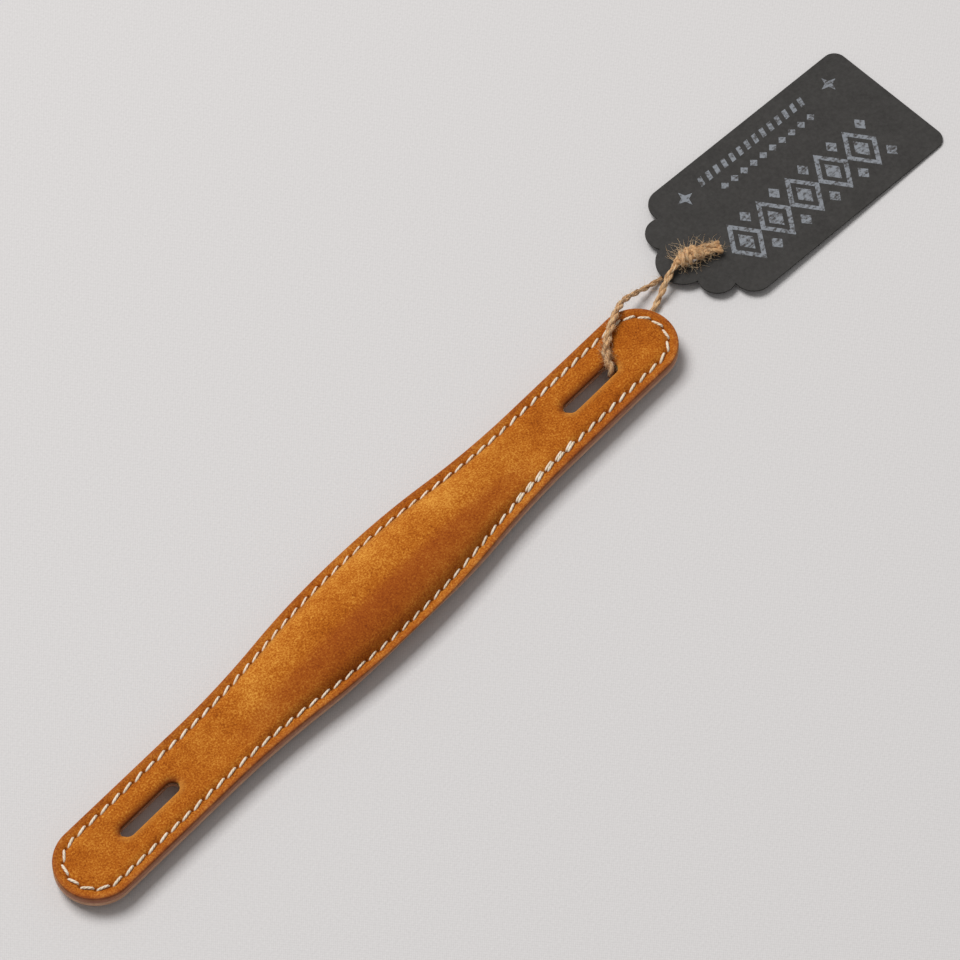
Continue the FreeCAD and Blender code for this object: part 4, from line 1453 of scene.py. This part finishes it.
# %% Card finish
board = Finish("dyed_card", Roughness=0.82, Specular_IOR_Level=0.3)
place = board.mark("rest", 1)
pulp = board.noise(place, 900, 4, 0.65)
mottle = board.noise(place, 120, 2)
colour = board.ramp(pulp * 0.7 + mottle * 0.3, [(0.3, dye(49, 47, 45)), (0.7, dye(67, 65, 63))])
give(board.finish_with(Base_Color=colour, Normal=board.bump(pulp, 0.05 * MM, 0.6)), [card])
print_ink = Finish("block_ink", Roughness=0.7, Specular_IOR_Level=0.35)
place = print_ink.mark("rest", 1)
miss = print_ink.noise(place, 1100, 3, 0.7)
bands = print_ink.noise(print_ink.stretched(place, (160, 900, 100)), 1, 3, 0.6)
cover = ((miss * 0.6 + bands * 0.5 - 0.44) * 7).clipped()
colour = print_ink.mix(cover, dye(62, 58, 56), dye(134, 138, 144))
give(print_ink.finish_with(Base_Color=colour), [ink])

# %% [markdown]
# ## The table and the light
#
# The strap lies on a pale cloth. One large soft lamp stands beyond it, so that shadows fall softly towards
# the viewer's right, and a pale surround fills them.

# %% Lay the cloth
FLOOR_REACH = 12.0
WEAVE_TURNS = 2 * math.pi / (0.74 * MM)
corners = np.array([(-1, -1, 0), (1, -1, 0), (1, 1, 0), (-1, 1, 0)]) * FLOOR_REACH
cloth = make_piece("table_cloth", corners, [[0, 1, 2, 3]])
linen = Finish("table_linen", Roughness=0.9, Specular_IOR_Level=0.2)
place = linen.node("ShaderNodeTexCoord", {}, {}, 3)
warp, weft = ((linen.part(place, axis) * WEAVE_TURNS).sine() for axis in (0, 1))
slub = linen.noise(place, 1400, 2)
weave = warp * weft * 0.22 + slub * 0.7 + 0.15
colour = linen.ramp(weave, [(0.2, dye(209, 206, 205)), (0.8, dye(224, 221, 220))])
give(linen.finish_with(Base_Color=colour, Normal=linen.bump(weave, 0.1 * MM, 0.5)), [cloth])

# %% Hang the lamp
SURROUND_STRENGTH = 0.31


def lamp(name, azimuth, elevation, distance, size, watts):
    """A square soft lamp that faces the strap from a direction."""
    data = bpy.data.lights.new(name, "AREA")
    data.shape = "SQUARE"
    data.size = size
    data.energy = watts
    light = bpy.data.objects.new(name, data)
    bpy.context.scene.collection.objects.link(light)
    aim(light, LOOK_AT, direction_of(math.radians(azimuth), math.radians(elevation)), distance)


lamp("window", 180, 59.5, 4.0, 2.0, 134)
world = bpy.data.worlds.new("studio")
bpy.context.scene.world = world
world.use_nodes = True
surround = world.node_tree.nodes["Background"]
surround.inputs["Color"].default_value = (1.0, 1.0, 1.0, 1.0)
surround.inputs["Strength"].default_value = SURROUND_STRENGTH
bpy.context.scene.view_settings.view_transform = "Standard"
